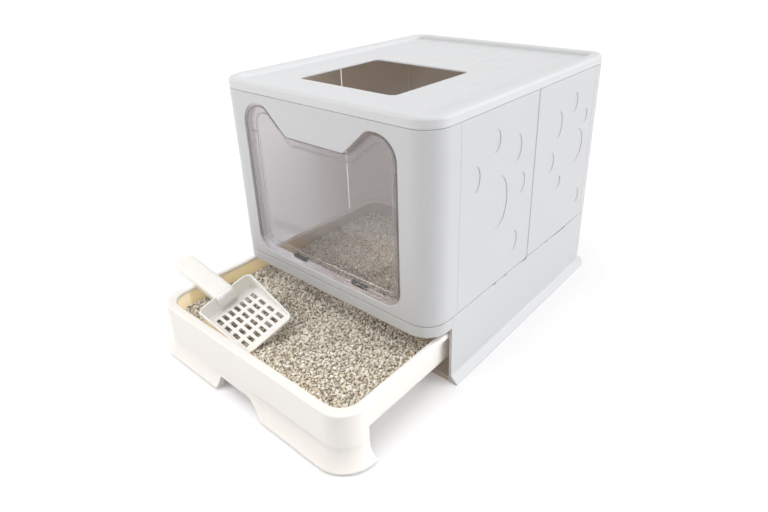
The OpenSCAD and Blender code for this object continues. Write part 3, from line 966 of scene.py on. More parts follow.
@dataclass(frozen=True)
class Smoked(Finish):
    """Clear smoked plastic, with painted shade along its thick edge.

    Attributes:
        tint: Colour that comes through one face.
        edge_shade_tint: Painted shade: the darker colour that comes through at an edge.
        edge_shade_color: Painted shade: the dark colour that an edge scatters.
        haze: Share of light that the plastic scatters.
        edge_shade_share: How much more an edge scatters, to paint its shade.
        mirror: Share of light that a polished face reflects straight on.
        roughness: Roughness of the polish.
        sill_light: How far the painted edge shade is lighter along the sill, as painted light from the white
            sill below.
        sill_fade: Height over which that fades, in metres.
        soft: Softness of the magnets' outlines, in metres.
        wave_depth: Depth of the sheet's slow unevenness, in metres.
    """

    tint: Triple = (0.93, 0.912, 0.916)
    edge_shade_tint: Triple = (0.40, 0.385, 0.38)
    edge_shade_color: Triple = (0.20, 0.18, 0.18)
    haze: float = 0.07
    edge_shade_share: float = 0.70
    mirror: float = 0.05
    roughness: float = 0.03
    sill_light: float = 0.65
    sill_fade: float = 0.004
    soft: float = 0.0005
    wave_depth: float = 0.00005

    def window(self, tree: Tree, at: Val) -> Val:
        """1 where the clear edge lies over a magnet."""
        x, _, z = tree.axes(at)
        off = (x.absolute() - DOOR.magnet_gauge / 2 * MM).absolute()
        top = (SILL_Z + DOOR.gap + DOOR.magnet_h) * MM
        half = DOOR.magnet_l / 2 * MM
        return off.smooth(half + self.soft, half - self.soft) * z.smooth(top + self.soft, top)

    def shade(self, tree: Tree) -> Socket:
        """Builds the shader."""
        at = tree.coords()
        # The tone holds painted shade along the flap's thick edge.
        tone = Val(tree, tree.node("ShaderNodeAttribute", attribute_name=TONE).outputs["Fac"])
        plain = 1 - self.window(tree, at)
        low = (SILL_Z + DOOR.gap + DOOR.band_w) * MM
        # The painted edge shade is cleared over the magnets and lighter along the sill.
        tone = tone * plain * (1 - tree.axes(at)[2].smooth(low + self.sill_fade, low) * self.sill_light)
        slow = tree.noise(at, 14.0, 2.0, 0.5)
        fine = tree.noise(at, 600.0, 2.0, 0.5)
        normal = tree.bump(slow * 3.0 + fine * 0.2, self.wave_depth)
        # Painted shade: the edge lets through darker light than the pane.
        through, edge = (
            tree.shader("BsdfTransparent", {"Color": (*tint, 1.0)}) for tint in (self.tint, self.edge_shade_tint)
        )
        clear = tree.blend(tone, through, edge)
        # Scattered light, dark at the edge as painted shade.
        scattered = tree.shader(
            "BsdfPrincipled",
            {
                "Base Color": tree.ramp(tone, self.color, self.edge_shade_color),
                "Roughness": fine * 0.1 + 0.45,
                "Normal": normal,
            },
        )
        share = (tone * self.edge_shade_share + slow * 0.03 + (self.haze - 0.015)) * plain
        body = tree.blend(share, clear, scattered)
        gloss = tree.shader(
            "BsdfPrincipled",
            {
                "Base Color": tree.ramp(slow, (0.95, 0.95, 0.95), WHITE),
                "Metallic": 1.0,
                "Roughness": fine * 0.02 + self.roughness,
                "Normal": normal,
            },
        )
        facing = tree.node("ShaderNodeLayerWeight", {"Blend": 0.5, "Normal": normal})
        grazing = tree.math("POWER", Val(tree, facing.outputs["Facing"]), 5.0)
        return tree.blend(grazing * (1 - self.mirror) + self.mirror, body, gloss)


@dataclass(frozen=True)
class Granules(Finish):
    """Mixed mineral granules, coloured grain by grain.

    Attributes:
        attribute: The mesh attribute that holds each grain's own colour.
        specks: Share of the finish's own colour in the specks.
        depth: Depth of the chips, in metres.
    """

    attribute: str = "grain"
    specks: float = 0.2
    depth: float = 0.0005

    def shade(self, tree: Tree) -> Socket:
        """Builds the shader."""
        at = tree.coords()
        own = tree.node("ShaderNodeAttribute", attribute_name=self.attribute)
        speck = tree.noise(at, 1800.0, 2.0, 0.6)
        own_color = Val(tree, own.outputs["Color"])
        chips = tree.noise(at, 900.0, 3.0, 0.7)
        return tree.shader(
            "BsdfPrincipled",
            {
                "Base Color": tree.ramp(speck.smooth(0.35, 0.75) * self.specks, own_color, self.color),
                "Roughness": chips * 0.2 + 0.75,
                "Normal": tree.bump(chips, self.depth),
                "Specular IOR Level": 0.3,
            },
        )


@dataclass(frozen=True)
class Metal(Finish):
    """A metal surface with drawn or pitted texture.

    Attributes:
        metallic: Share of metal in the surface.
        roughness: Middle roughness.
        stretch: How much longer than wide its marks are, along Z.
        depth: Depth of the marks, in metres.
    """

    metallic: float = 1.0
    roughness: float = 0.3
    stretch: float = 20.0
    depth: float = 0.00002

    def shade(self, tree: Tree) -> Socket:
        """Builds the shader."""
        x, y, z = tree.axes(tree.coords())
        joined = tree.node("ShaderNodeCombineXYZ", {0: x, 1: y, 2: z / self.stretch})
        at = Val(tree, joined.outputs[0])
        marks = tree.noise(at, 2500.0, 3.0, 0.6)
        slow = tree.noise(at, 90.0, 2.0, 0.5)
        return tree.shader(
            "BsdfPrincipled",
            {
                "Base Color": tree.ramp(slow, tuple(c * 0.85 for c in self.color), self.color),
                "Metallic": self.metallic,
                "Roughness": marks * 0.15 + (self.roughness - 0.07),
                "Normal": tree.bump(marks, self.depth),
            },
        )


@dataclass(frozen=True)
class Floor(Finish):
    """The studio floor, matt and nearly white.

    Attributes:
        lift: Light added where the floor is looked at, so that it reads as white.
    """

    lift: float = 0.155

    def shade(self, tree: Tree) -> Socket:
        """Builds the shader."""
        slow = tree.noise(tree.coords(), 1.5, 1.0, 0.3)
        low = tuple(c * 0.995 for c in self.color)
        return tree.shader(
            "BsdfPrincipled",
            {
                "Base Color": tree.ramp(slow, low, self.color),
                "Roughness": 0.9,
                "Specular IOR Level": 0.0,
                "Emission Color": tree.looked_at() * self.lift,
                "Emission Strength": 1.0,
            },
        )


PANEL_PLASTIC = PanelPlastic("satin_panel", (0.575, 0.58, 0.59), Slot.PANEL, roughness=0.40)
LID_PLASTIC = Plastic("satin_lid", (0.635, 0.64, 0.65), Slot.LID, roughness=0.45, grain_depth=0.00004)
DRAWER_PLASTIC = DrawerPlastic("satin_drawer", (0.875, 0.84, 0.795), Slot.DRAWER, roughness=0.38, glow=0.15)
SCOOP_PLASTIC = Plastic("gloss_scoop", (0.88, 0.86, 0.82), Slot.SCOOP, roughness=0.30, glow=0.15, coat=0.15)
SMOKED_CLEAR = Smoked("smoked_sheet", (0.78, 0.765, 0.77), Slot.SMOKED)
GRANULES = Granules("loose_granules", (0.40, 0.35, 0.28), Slot.LITTER)
PIN_STEEL = Metal("drawn_steel", (0.72, 0.72, 0.73), Slot.STEEL)
MAGNET_BLACK = Metal(
    "coated_magnet", (0.06, 0.06, 0.065), Slot.MAGNET, metallic=0.3, roughness=0.45, stretch=1.0
)
STUDIO_FLOOR = Floor("studio_floor", (0.86, 0.855, 0.86))


# ---- Mesh building ----


@dataclass
class Shape:
    """A mesh being built in millimetres."""

    bm: bmesh.types.BMesh = field(default_factory=bmesh.new)

    def mark(self, verts: Iterable, tone: float) -> None:
        """Stores a tone on points, for a finish that reads it."""
        layer = self.bm.verts.layers.float.get(TONE)
        if layer:
            for v in verts:
                v[layer] = tone

    def _chain(self, ring: Ring, closed: bool) -> tuple[list, list]:
        verts = [self.bm.verts.new(p) for p in ring]
        pairs = list(zip(verts, verts[1:] + (verts[:1] if closed else [])))
        return verts, [self.bm.edges.new(p) for p in pairs if p[0] is not p[1]]

    def loft(
        self,
        rings: Sequence[Ring],
        closed: bool = True,
        wrap: bool = False,
        tones: Sequence[float] | None = None,
    ) -> list[list]:
        """Draws a skin from ring to ring by extruding the first one.

        Args:
            rings: Rings with as many points each.
            closed: Whether each ring closes on itself.
            wrap: Whether the last ring joins the first.
            tones: A tone for each ring.

        Returns:
            The edges of each ring.
        """
        verts, edges = self._chain(rings[0], closed)
        made_edges = [edges]
        tones = list(tones) if tones else [0.0] * len(rings)
        self.mark(verts, tones[0])
        rows = list(rings[1:]) + ([rings[0]] if wrap else [])
        for ring, tone in zip(rows, tones[1:] + tones[:1]):
            geom = bmesh.ops.extrude_edge_only(self.bm, edges=edges)["geom"]
            fresh = {g for g in geom if isinstance(g, bmesh.types.BMVert)}
            row = []
            for old, place in zip(verts, ring):
                new = next(e.other_vert(old) for e in old.link_edges if e.other_vert(old) in fresh)
                new.co = place
                row.append(new)
            self.mark(row, tone)
            pairs = zip(row, row[1:] + (row[:1] if closed else []))
            edges = [e for e in (self.bm.edges.get(p) for p in pairs) if e]
            verts = row
            made_edges.append(edges)
        return made_edges

    def capped(self, rings: Sequence[Ring], tones: Sequence[float] | None = None) -> None:
        """Adds the solid between the first ring and the last one."""
        ends = self.loft(rings, tones=tones)
        self.fill(ends[0])
        self.fill(ends[-1])

    def fill(self, *loops: Iterable) -> None:
        """Fills the flat region that the edge loops bound."""
        edges = [e for loop in loops for e in loop]
        bmesh.ops.triangle_fill(self.bm, use_beauty=True, use_dissolve=False, edges=edges)

    def wall(self, run: "Outline", section: Sequence[Point]) -> None:
        """Adds a closed wall of one section along an open run."""
        self.loft(plan_rings(run, section), closed=False, wrap=True)
        self.close()

    def close(self) -> None:
        """Merges doubled points and fills every hole that is left."""
        bmesh.ops.remove_doubles(self.bm, verts=self.bm.verts[:], dist=WELD)
        open_edges = [e for e in self.bm.edges if e.is_boundary]
        bmesh.ops.holes_fill(self.bm, edges=open_edges, sides=0)
        bmesh.ops.recalc_face_normals(self.bm, faces=self.bm.faces[:])

    def block(self, lo: Sequence[float], hi: Sequence[float], bevel: float = 0.0, segments: int = 3) -> None:
        """Adds a block between two corners, with its edges rounded."""
        size = [b - a for a, b in zip(lo, hi)]
        centre = [(a + b) / 2 for a, b in zip(lo, hi)]
        matrix = Matrix.Translation(centre) @ Matrix.Diagonal((*size, 1.0))
        made = bmesh.ops.create_cube(self.bm, size=1.0, matrix=matrix)["verts"]
        if bevel > 0:
            edges = list({e for v in made for e in v.link_edges})
            how = {"offset_type": "OFFSET", "profile": 0.5, "affect": "EDGES", "material": -1}
            bmesh.ops.bevel(self.bm, geom=edges, offset=bevel, segments=segments, **how)

    def rod(self, at: Triple, r: float, length: float) -> None:
        """Adds an upright cylinder whose foot is at a point."""
        matrix = Matrix.Translation((at[0], at[1], at[2] + length / 2))
        size = {"radius1": r, "radius2": r, "depth": length}
        bmesh.ops.create_cone(self.bm, cap_ends=True, segments=24, matrix=matrix, **size)

    def mirror_x(self) -> None:
        """Turns the shape into its mirror image across X."""
        bmesh.ops.scale(self.bm, vec=(-1, 1, 1), verts=self.bm.verts[:])
        bmesh.ops.reverse_faces(self.bm, faces=self.bm.faces[:])

    def mesh(self, name: str) -> Mesh:
        """Stores the shape as a mesh, in metres."""
        made = bpy.data.meshes.new(name)
        bmesh.ops.scale(self.bm, vec=(MM, MM, MM), verts=self.bm.verts[:])
        self.bm.to_mesh(made)
        self.bm.free()
        return made


def cut(mesh: Mesh, tool: Mesh) -> Mesh:
    """Takes a tool's room out of a mesh.

    Args:
        mesh: The mesh that is cut.
        tool: A closed mesh.

    Returns:
        A new mesh.
    """
    target = bpy.data.objects.new("cut_target", mesh)
    helper = bpy.data.objects.new("cut_tool", tool)
    for item in (target, helper):
        bpy.context.scene.collection.objects.link(item)
    modifier = target.modifiers.new("cut", "BOOLEAN")
    modifier.operation = "DIFFERENCE"
    modifier.solver = "EXACT"
    modifier.object = helper
    graph = bpy.context.evaluated_depsgraph_get()
    made = bpy.data.meshes.new_from_object(target.evaluated_get(graph))
    for item in (target, helper):
        bpy.data.objects.remove(item)
    return made


def place_piece(mesh: Mesh, name: str, finish: Finish, body: Body) -> Object:
    """Shows a mesh as a piece that moves with a body."""
    mesh.materials.clear()
    mesh.materials.append(finish.material())
    piece = bpy.data.objects.new(name, mesh)
    bpy.context.scene.collection.objects.link(piece)
    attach(piece, body.value)
    return piece


def finish_piece(
    mesh: Mesh,
    name: str,
    finish: Finish,
    body: Body,
    nodes: Sequence[str],
    sharp: float = 38.0,
    weighted: bool = True,
) -> Object:
    """Makes a shown piece of the object from a mesh.

    Args:
        mesh: Its mesh, in metres.
        name: Its name.
        finish: Its finish.
        body: The body that it moves with.
        nodes: The nodes that it replaces.
        sharp: Edges that bend more than this many degrees stay sharp.
        weighted: Whether large faces rule the shading.

    Returns:
        The object.
    """
    bm = bmesh.new()
    bm.from_mesh(mesh)
    bmesh.ops.dissolve_degenerate(bm, dist=WELD * MM, edges=bm.edges[:])
    for face in bm.faces:
        face.smooth = True
    for edge in bm.edges:
        edge.smooth = len(edge.link_faces) == 2 and edge.calc_face_angle() < math.radians(sharp)
    bm.to_mesh(mesh)
    bm.free()
    piece = place_piece(mesh, name, finish, body)
    if weighted:
        modifier = piece.modifiers.new("weighted", "WEIGHTED_NORMAL")
        modifier.keep_sharp = True
        modifier.weight = 50
    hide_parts(*nodes)
    return piece


def plan_rings(outline: Outline, profile: Sequence[Point]) -> list[Ring]:
    """Level rings of an outline, one for each (inset, height) of a profile."""
    return [[Vector((x, y, z)) for x, y in outline.inset(d).points()] for d, z in profile]


def wall_rings(outline: Outline, profile: Sequence[Point]) -> list[Ring]:
    """Rings of an (x, z) outline, one for each (inset, y) of a profile."""
    return [[Vector((x, y, z)) for x, z in outline.inset(d).points()] for d, y in profile]


def rounded(corners: Sequence[Triple], steps: int = 4) -> list[Point]:
    """A closed profile with its corners rounded."""
    return Outline(tuple(corners), True, steps).points()


# ---- Pieces ----


@dataclass(frozen=True)
class Panels:
    """The folding enclosure's panels."""

    box: BoxSizes
    door: DoorSizes

    def profile(self) -> list[Point]:
        """Section of a panel's wall as (inset, height): a skin and the tongues behind it."""
        b = self.box
        tongue = b.skin + b.clear
        z0, z1 = b.panel_z0, b.panel_z1
        low, top = b.base_h - b.tongue_h, b.height - LID.rise - LID.deck_t - b.clear
        r = b.edge_round
        behind = [(tongue, z0), (tongue, low), (b.wall, low), (b.wall, top), (tongue, top), (tongue, z1)]
        return rounded([(0, z1, r), (0, z0, 2 * r), *((d, z, b.tongue_round) for d, z in behind)], 3)

    def knuckles(self, shape: Shape, x: float, y: float, first: int) -> None:
        """Adds every second knuckle of a fold line."""
        b = self.box
        pitch = (b.panel_z1 - b.panel_z0) / b.knuckles
        for i in range(first, b.knuckles, 2):
            foot = b.panel_z0 + i * pitch + b.knuckle_gap / 2
            shape.rod((x, y, foot), b.knuckle_r, pitch - b.knuckle_gap)

    def front(self) -> Object:
        """The front panel with its doorway."""
        b, d = self.box, self.door
        end = b.front_fold - b.seam / 2
        shell = Shape()
        run = front_run(b.width, b.front_y, end, b.front_r)
        shell.wall(run, self.profile())
        lip = d.lip
        hole = Shape()
        hole.capped(wall_rings(doorway(), [(-lip, b.front_y - 5), (-lip, b.front_y + b.wall + 5)]))
        hole.close()
        mesh = cut(shell.mesh("front_shell"), hole.mesh("front_hole"))
        trim = Shape()
        y0, y1 = b.front_y, b.front_y + d.frame_d
        section = [(-lip, y0), *arc(-lip, y0 + lip, lip, -90, 0, 6)]
        section += [(0, y1 - 0.6), (-0.6, y1), (-d.frame_t + 0.6, y1), (-d.frame_t, y1 - 0.6)]
        section += [(-d.frame_t, y0 + 2), (-lip, y0 + 1)]
        trim.loft(wall_rings(doorway(), section), wrap=True)
        trim.close()
        for x in (-b.inner_x, b.inner_x):
            self.knuckles(trim, x, b.front_fold, 1)
        name = "front_panel_look"
        merged = join([mesh, trim.mesh("front_trim")], name)
        return finish_piece(merged, name, PANEL_PLASTIC, Body.FRONT, ["front_panel"])

    def back(self) -> Object:
        """The back panel."""
        b = self.box
        shell = Shape()
        run = rear_run(b.width, b.rear_fold + b.seam / 2, b.back_y, b.rear_r)
        shell.wall(run, self.profile())
        for x in (-b.inner_x, b.inner_x):
            self.knuckles(shell, x, b.rear_fold, 0)
        name = "back_panel_look"
        return finish_piece(shell.mesh(name), name, PANEL_PLASTIC, Body.BACK, ["back_panel"])

    def oval(self, shape: Shape, y: float, z: float, a: float, c: float) -> None:
        """Adds the room of one sunk oval in a right side panel."""
        x, o = self.box.side_x, OVALS
        rings = [self._ellipse(x + 1, y, z, a, c), self._ellipse(x - o.sink * o.upright, y, z, a, c)]
        for t in steps_to(math.pi / 2, 5):
            inset = o.soft * (1 - math.cos(t))
            depth = o.sink * (o.upright + (1 - o.upright) * math.sin(t))
            rings.append(self._ellipse(x - depth, y, z, a - inset, c - inset))
        shape.capped(rings)

    @staticmethod
    def _ellipse(x: float, y: float, z: float, a: float, c: float) -> Ring:
        """An ellipse in a plane of constant x."""
        turns = [2 * math.pi * k / 48 for k in range(48)]
        return [Vector((x, y + a * math.cos(t), z + c * math.sin(t))) for t in turns]

    def half(
        self,
        name: str,
        body: Body,
        mirrored: bool,
        lines: tuple[Point, Point],
        ovals: Sequence[Four],
    ) -> Object:
        """One half of a side panel.

        Args:
            name: The node that it stands for.
            body: The body that it moves with.
            mirrored: Whether it is on the left.
            lines: Its two fold lines, each as (y, x).
            ovals: Sunk ovals as (place along, place up, half width, half height).

        Returns:
            The object.
        """
        b = self.box
        (y0, x0), (y1, x1) = lines
        shell, dents, rods = Shape(), Shape(), Shape()
        # The two halves nearly meet at the middle fold line
        gap0, gap1 = (b.seam / 10 if y == b.mid_fold else b.seam / 2 for y in (y0, y1))
        run = Outline(((b.side_x, y0 + gap0, 0), (b.side_x, y1 - gap1, 0)), False)
        shell.loft(plan_rings(run, self.profile()), closed=False, wrap=True)
        reach = (b.rear_fold - b.front_fold) / 2
        for along, up, a, c in ovals:
            z = b.panel_z0 + up * (b.panel_z1 - b.panel_z0)
            self.oval(dents, (y0 + y1) / 2 + along * reach, z, a, c)
        self.knuckles(rods, x0, y0, 0)
        self.knuckles(rods, x1, y1, 1)
        middle = [v for v in rods.bm.verts if abs(v.co.y - b.mid_fold) < 2 * b.knuckle_r]
        flat = Matrix.Translation((-b.side_x, 0, 0))
        bmesh.ops.scale(rods.bm, vec=(b.knuckle_flat, 1, 1), space=flat, verts=middle)
        for shape in (shell, dents, rods):
            shape.close()
            if mirrored:
                shape.mirror_x()
        look = name + "_look"
        skin = cut(shell.mesh("half_shell"), dents.mesh("half_dents"))
        merged = join([skin, rods.mesh("half_rods")], look)
        return finish_piece(merged, look, PANEL_PLASTIC, body, [name])

    def build(self) -> None:
        """Makes the six panels."""
        b = self.box
        self.front()
        self.back()
        front_half = ((b.front_fold, b.inner_x), (b.mid_fold, b.side_x))
        rear_half = ((b.mid_fold, b.side_x), (b.rear_fold, b.inner_x))
        for side, mirrored in (("right", False), ("left", True)):
            for end, lines, ovals in (("front", front_half, OVALS.front), ("rear", rear_half, OVALS.rear)):
                self.half(f"side_panel_{side}_{end}", Body(f"{side}_{end}"), mirrored, lines, ovals)


def join(meshes: Sequence[Mesh], name: str) -> Mesh:
    """Puts several meshes into one.

    Args:
        meshes: The meshes, which are removed.
        name: The new mesh's name.

    Returns:
        The new mesh.
    """
    bm = bmesh.new()
    for mesh in meshes:
        bm.from_mesh(mesh)
        bpy.data.meshes.remove(mesh)
    made = bpy.data.meshes.new(name)
    bm.to_mesh(made)
    bm.free()
    return made


@dataclass(frozen=True)
class Lid:
    """The lid with its raised edge and entry opening."""

    box: BoxSizes
    lid: LidSizes

    def build(self) -> Object:
        """Makes the lid."""
        b, s = self.box, self.lid
        deck, under = b.height - s.rise, b.height - s.rise - s.deck_t
        plan = rectangle(b.width, b.front_y, b.back_y, b.front_r, b.rear_r, 14)
        top, r, w, foot = b.height, s.edge_r, s.edge_w, s.heel_r
        outer = [(b.skin, b.lid_z), (0.8, b.lid_z), (0.2, b.lid_z + 0.25), (0, b.lid_z + 0.9)]
        outer += arc(r, top - r, r, 180, 90, 8)
        crown = arc(w - r, top - r, r, 90, 0, 8)
        heel = [p for p in arc(w + foot, deck + foot, foot, 180, 270, 4) if p[1] < top - r]
        shape = Shape()
        skin = shape.loft(plan_rings(plan, [*outer, (r + 1, top), (w - r, top), *crown, *heel]))
        soft = s.entry_round
        edge = [(-soft, deck), *arc(-soft, deck - soft, soft, 90, 0, 5), (0, under + 0.6), (-0.6, under)]
        hole = shape.loft(plan_rings(entry(), edge))
        shape.fill(skin[-1], hole[0])
        inner = [(w + foot, under), (w - 0.5, under), (w - 2.2, under + 2), (w - 2.5, top - s.deck_t)]
        inner += [(b.skin + 0.6, top - s.deck_t), (b.skin, top - s.deck_t - 0.6), (b.skin, b.lid_z)]
        belly = shape.loft(plan_rings(plan, inner))
        shape.fill(belly[0], hole[-1])
        shape.close()
        self.ribs(shape, deck)
        return finish_piece(shape.mesh("lid_look"), "lid_look", LID_PLASTIC, Body.LID, ["lid"])

    def ribs(self, shape: Shape, deck: float) -> None:
        """Adds the ribs beside and behind the entry opening."""
        b, s = self.box, self.lid
        x0 = s.entry_x - s.entry_w / 2
        behind = b.front_y + s.entry_y + s.entry_d + s.rib_pitch
        back = b.back_y - s.edge_w - s.rib_pitch / 2
        x = x0
        while x <= b.side_x - s.edge_w - s.rib_pitch / 2:
            beside = x > s.entry_x + s.entry_w / 2 + s.rib_w
            start = b.front_y + s.edge_w + s.rib_pitch if beside else behind
            self.ridge(shape, x, start, back, deck)
            x += s.rib_pitch

    def ridge(self, shape: Shape, x: float, start: float, back: float, deck: float) -> None:
        """Adds one rib as a low swell that fades into the deck.

        Args:
            shape: The lid's shape.
            x: The rib's middle.
            start: Its front end.
            back: Its rear end.
            deck: Height of the deck.
        """
        s = self.lid
        half, fade = s.rib_pitch * s.rib_reach, s.rib_fade
        stations = ((start, 0), (start + fade / 2, 0.5), (start + fade, 1), (back - fade, 1), (back, 0))
        rings = []
        for y, share in stations:
            ring = []
            for k in range(17):
                off = (k / 8 - 1) * half
                swell = (1 + math.cos(math.pi * off / half)) / 2
                ring.append(Vector((x + off, y, deck - 0.02 + s.rib_h * share * swell)))
            rings.append([*ring, Vector((x + half, y, deck - 2)), Vector((x - half, y, deck - 2))])
        shape.capped(rings)


@dataclass(frozen=True)
class BaseTray:
    """The low tray that carries the enclosure and holds the drawer."""

    box: BoxSizes
    base: BaseSizes

    def build(self) -> Object:
        """Makes the tray."""
        b, s = self.box, self.base
        ledge = b.base_h - b.tongue_h - b.clear
        seat = [(0, b.base_h, b.edge_round), (b.skin, b.base_h, b.rim_round)]
        seat += [(d, ledge, b.tongue_round) for d in (b.skin, b.wall)]
        flare = [(-s.foot_out, 0, b.rim_round), (-s.foot_out, s.foot_edge, s.foot_round)]
        section = rounded([*flare, (0, s.foot_h, s.foot_bend), *seat, (b.wall, 0, b.tongue_round)])
        shell = Shape()
        run = rear_run(b.width, MOUTH_Y, b.back_y, b.rear_r)
        shell.wall(run, section)
        slots = Shape()
        for start, length in s.clip_slots:
            for side in (-1, 1):
                x = side * b.side_x
                slots.block((x - 2, start, b.base_h - s.clip_h), (x + 2, start + length, b.base_h + 1))
        mesh = cut(shell.mesh("base_shell"), slots.mesh("base_slots"))
        rail = Shape()
        low = b.base_h - s.rail_h
        under = [(d, low, r) for d, r in zip((0, b.wall), s.rail_round)]
        front = front_run(b.width, b.front_y, MOUTH_Y + 0.5, b.front_r)
        rail.wall(front, rounded([seat[0], *under, *reversed(seat[1:])]))
        floor = rectangle(b.width - b.wall, MOUTH_Y + 0.5, b.back_y - 2, 1.0, b.rear_r - 2)
        rail.capped(plan_rings(floor, [(0, 0), (0, s.floor_t)]))
        y0 = MOUTH_Y + s.floor_t
        rail.block((-b.inner_x - 1, y0, 0.5), (b.inner_x + 1, y0 + b.wall, s.sill_h), 1.0)
        for side in (-1, 1):
            x = side * s.runner_gauge / 2
            rail.block((x - s.runner_w / 2, y0, 1), (x + s.runner_w / 2, b.back_y - 3, s.runner_top), 1.0)
        bmesh.ops.recalc_face_normals(rail.bm, faces=rail.bm.faces[:])
        merged = join([mesh, rail.mesh("base_rail")], "base_tray_look")
        return finish_piece(merged, "base_tray_look", PANEL_PLASTIC, Body.BASE, ["base_tray"])


@dataclass(frozen=True)
class Drawer:
    """The litter drawer."""

    box: BoxSizes
    drawer: DrawerSizes

    def outline(self) -> Outline:
        """The rim's outer outline, wider along the fascia."""
        b, d = self.box, self.drawer
        right = [
            (b.side_x, FASCIA_Y, b.front_r),
            (b.side_x, FASCIA_BACK, 1.0),
            (RIM_X, FASCIA_BACK, 0.6),
            (RIM_X, DRAWER_BACK, d.basin_r - b.wall),
        ]
        return symmetric(right, 12)

    def basin(self) -> Outline:
        """The basin's inside outline."""
        r = self.drawer.basin_r
        return rectangle(2 * BASIN_X, BASIN_FRONT, BASIN_BACK, r, r, 12)

    def build(self) -> Object:
        """Makes the drawer."""
        d = self.drawer
        top, r, q = d.height, d.rim_round, d.inner_round
        rim = Shape()
        under = top - r
        outer = [(0, under - 0.01), (0, under), *arc(r, under, r, 180, 90, 7)]
        skin = rim.loft(plan_rings(self.outline(), outer))
        f = d.floor_round
        floor = d.basin_z + d.wall
        inner = [(-q, top), *arc(-q, top - q, q, 90, 0, 6), (d.draft * 0.6, floor + f + 6)]
        inner += arc(d.draft * 0.7 + f, floor + f, f, 180, 270, 6)
        basin = rim.loft(plan_rings(self.basin(), inner))
        rim.fill(skin[-1], basin[0])
        rim.fill(basin[-1])
        hull = [(-d.wall, under), (-d.wall, under - 4), (d.draft - d.wall + 0.4, d.basin_z + 3)]
        hull += [(d.draft - d.wall + 1.5, d.basin_z + 0.9), (d.draft - d.wall + 3.5, d.basin_z)]
        outside = rim.loft(plan_rings(self.basin(), hull))
        rim.fill(outside[-1])
        rim.fill(skin[0], outside[0])
        rim.close()
        step = Shape()
        front = MOUTH_Y - d.step_ahead
        for side in (-1, 1):
            x = side * (BASIN_X + d.wall)
            lo = (min(x - side * d.step_d, x + side * 3), front, d.basin_z - 3)
            hi = (max(x - side * d.step_d, x + side * 3), DRAWER_BACK - d.basin_r, d.step_h)
            step.block(lo, hi)
        body = cut(rim.mesh("drawer_rim"), step.mesh("drawer_step"))
        merged = join([body, self.fascia(), self.lip()], "drawer_look")
        return finish_piece(merged, "drawer_look", DRAWER_PLASTIC, Body.DRAWER, ["drawer"])

    def fascia(self) -> Mesh:
        """The fascia with its flared foot and finger arch."""
        b, d = self.box, self.drawer
        top = d.height - d.rim_round
        out, edge = BASE.foot_out, BASE.foot_edge
        foot = d.foot_clear
        edge += foot
        # The flare is a parabola that leaves the fascia straight down
        cove = [(-out * (1 - t / 10) ** 2, edge + (d.flare_h - edge) * t / 10) for t in range(1, 10)]
        section = [(0, top), (0, d.flare_h), *reversed(cove), (-out, edge)]
        section += [(-out, foot + 0.5), (-out + 0.5, foot)]
        section += [(d.wall - 0.5, foot), (d.wall, foot + 0.5), (d.wall, top)]
        shape = Shape()
        run = front_run(b.width, FASCIA_Y, FASCIA_BACK, b.front_r)
        shape.wall(run, section)
        tool = Shape()
        left, right = d.arch_x - d.arch_half, d.arch_x + d.arch_half
        arch = (
            (left, -3, 0),
            (right, -3, 0),
            (right, foot - d.toe_t, 0),
            (right - d.toe_l, foot + d.toe_t, d.sweep_r),
            (right - d.arch_sweep, d.arch_h, d.sweep_r),
            (left + d.arch_lean, d.arch_h, d.arch_r),
        )
        tool.capped(wall_rings(Outline(arch), [(0, FASCIA_Y - 30), (0, FASCIA_Y + d.rim_front)]))
        tool.close()
        mesh = cut(shape.mesh("fascia"), tool.mesh("arch"))
        webs = Shape()
        for side in (-1, 1):
            x0, x1 = sorted((side * (BASIN_X + 1), side * (b.side_x - 1)))
            webs.block((x0, FASCIA_BACK - d.wall, d.basin_z), (x1, FASCIA_BACK - 0.05, top), 0.4, 2)
        return join([mesh, webs.mesh("webs")], "fascia_whole")

    def lip(self) -> Mesh:
        """The lip that hangs from the rim behind the fascia."""
        d = self.drawer
        top = d.height - d.rim_round
        low = d.height - d.rim_lip
        section = [(0, top), (0, low + 0.5), (0.5, low), (1.0, low), (1.5, low + 0.5), (1.5, top)]
        shape = Shape()
        run = rear_run(2 * RIM_X, FASCIA_BACK, DRAWER_BACK, d.basin_r - self.box.wall)
        shape.wall(run, section)
        return shape.mesh("lip")


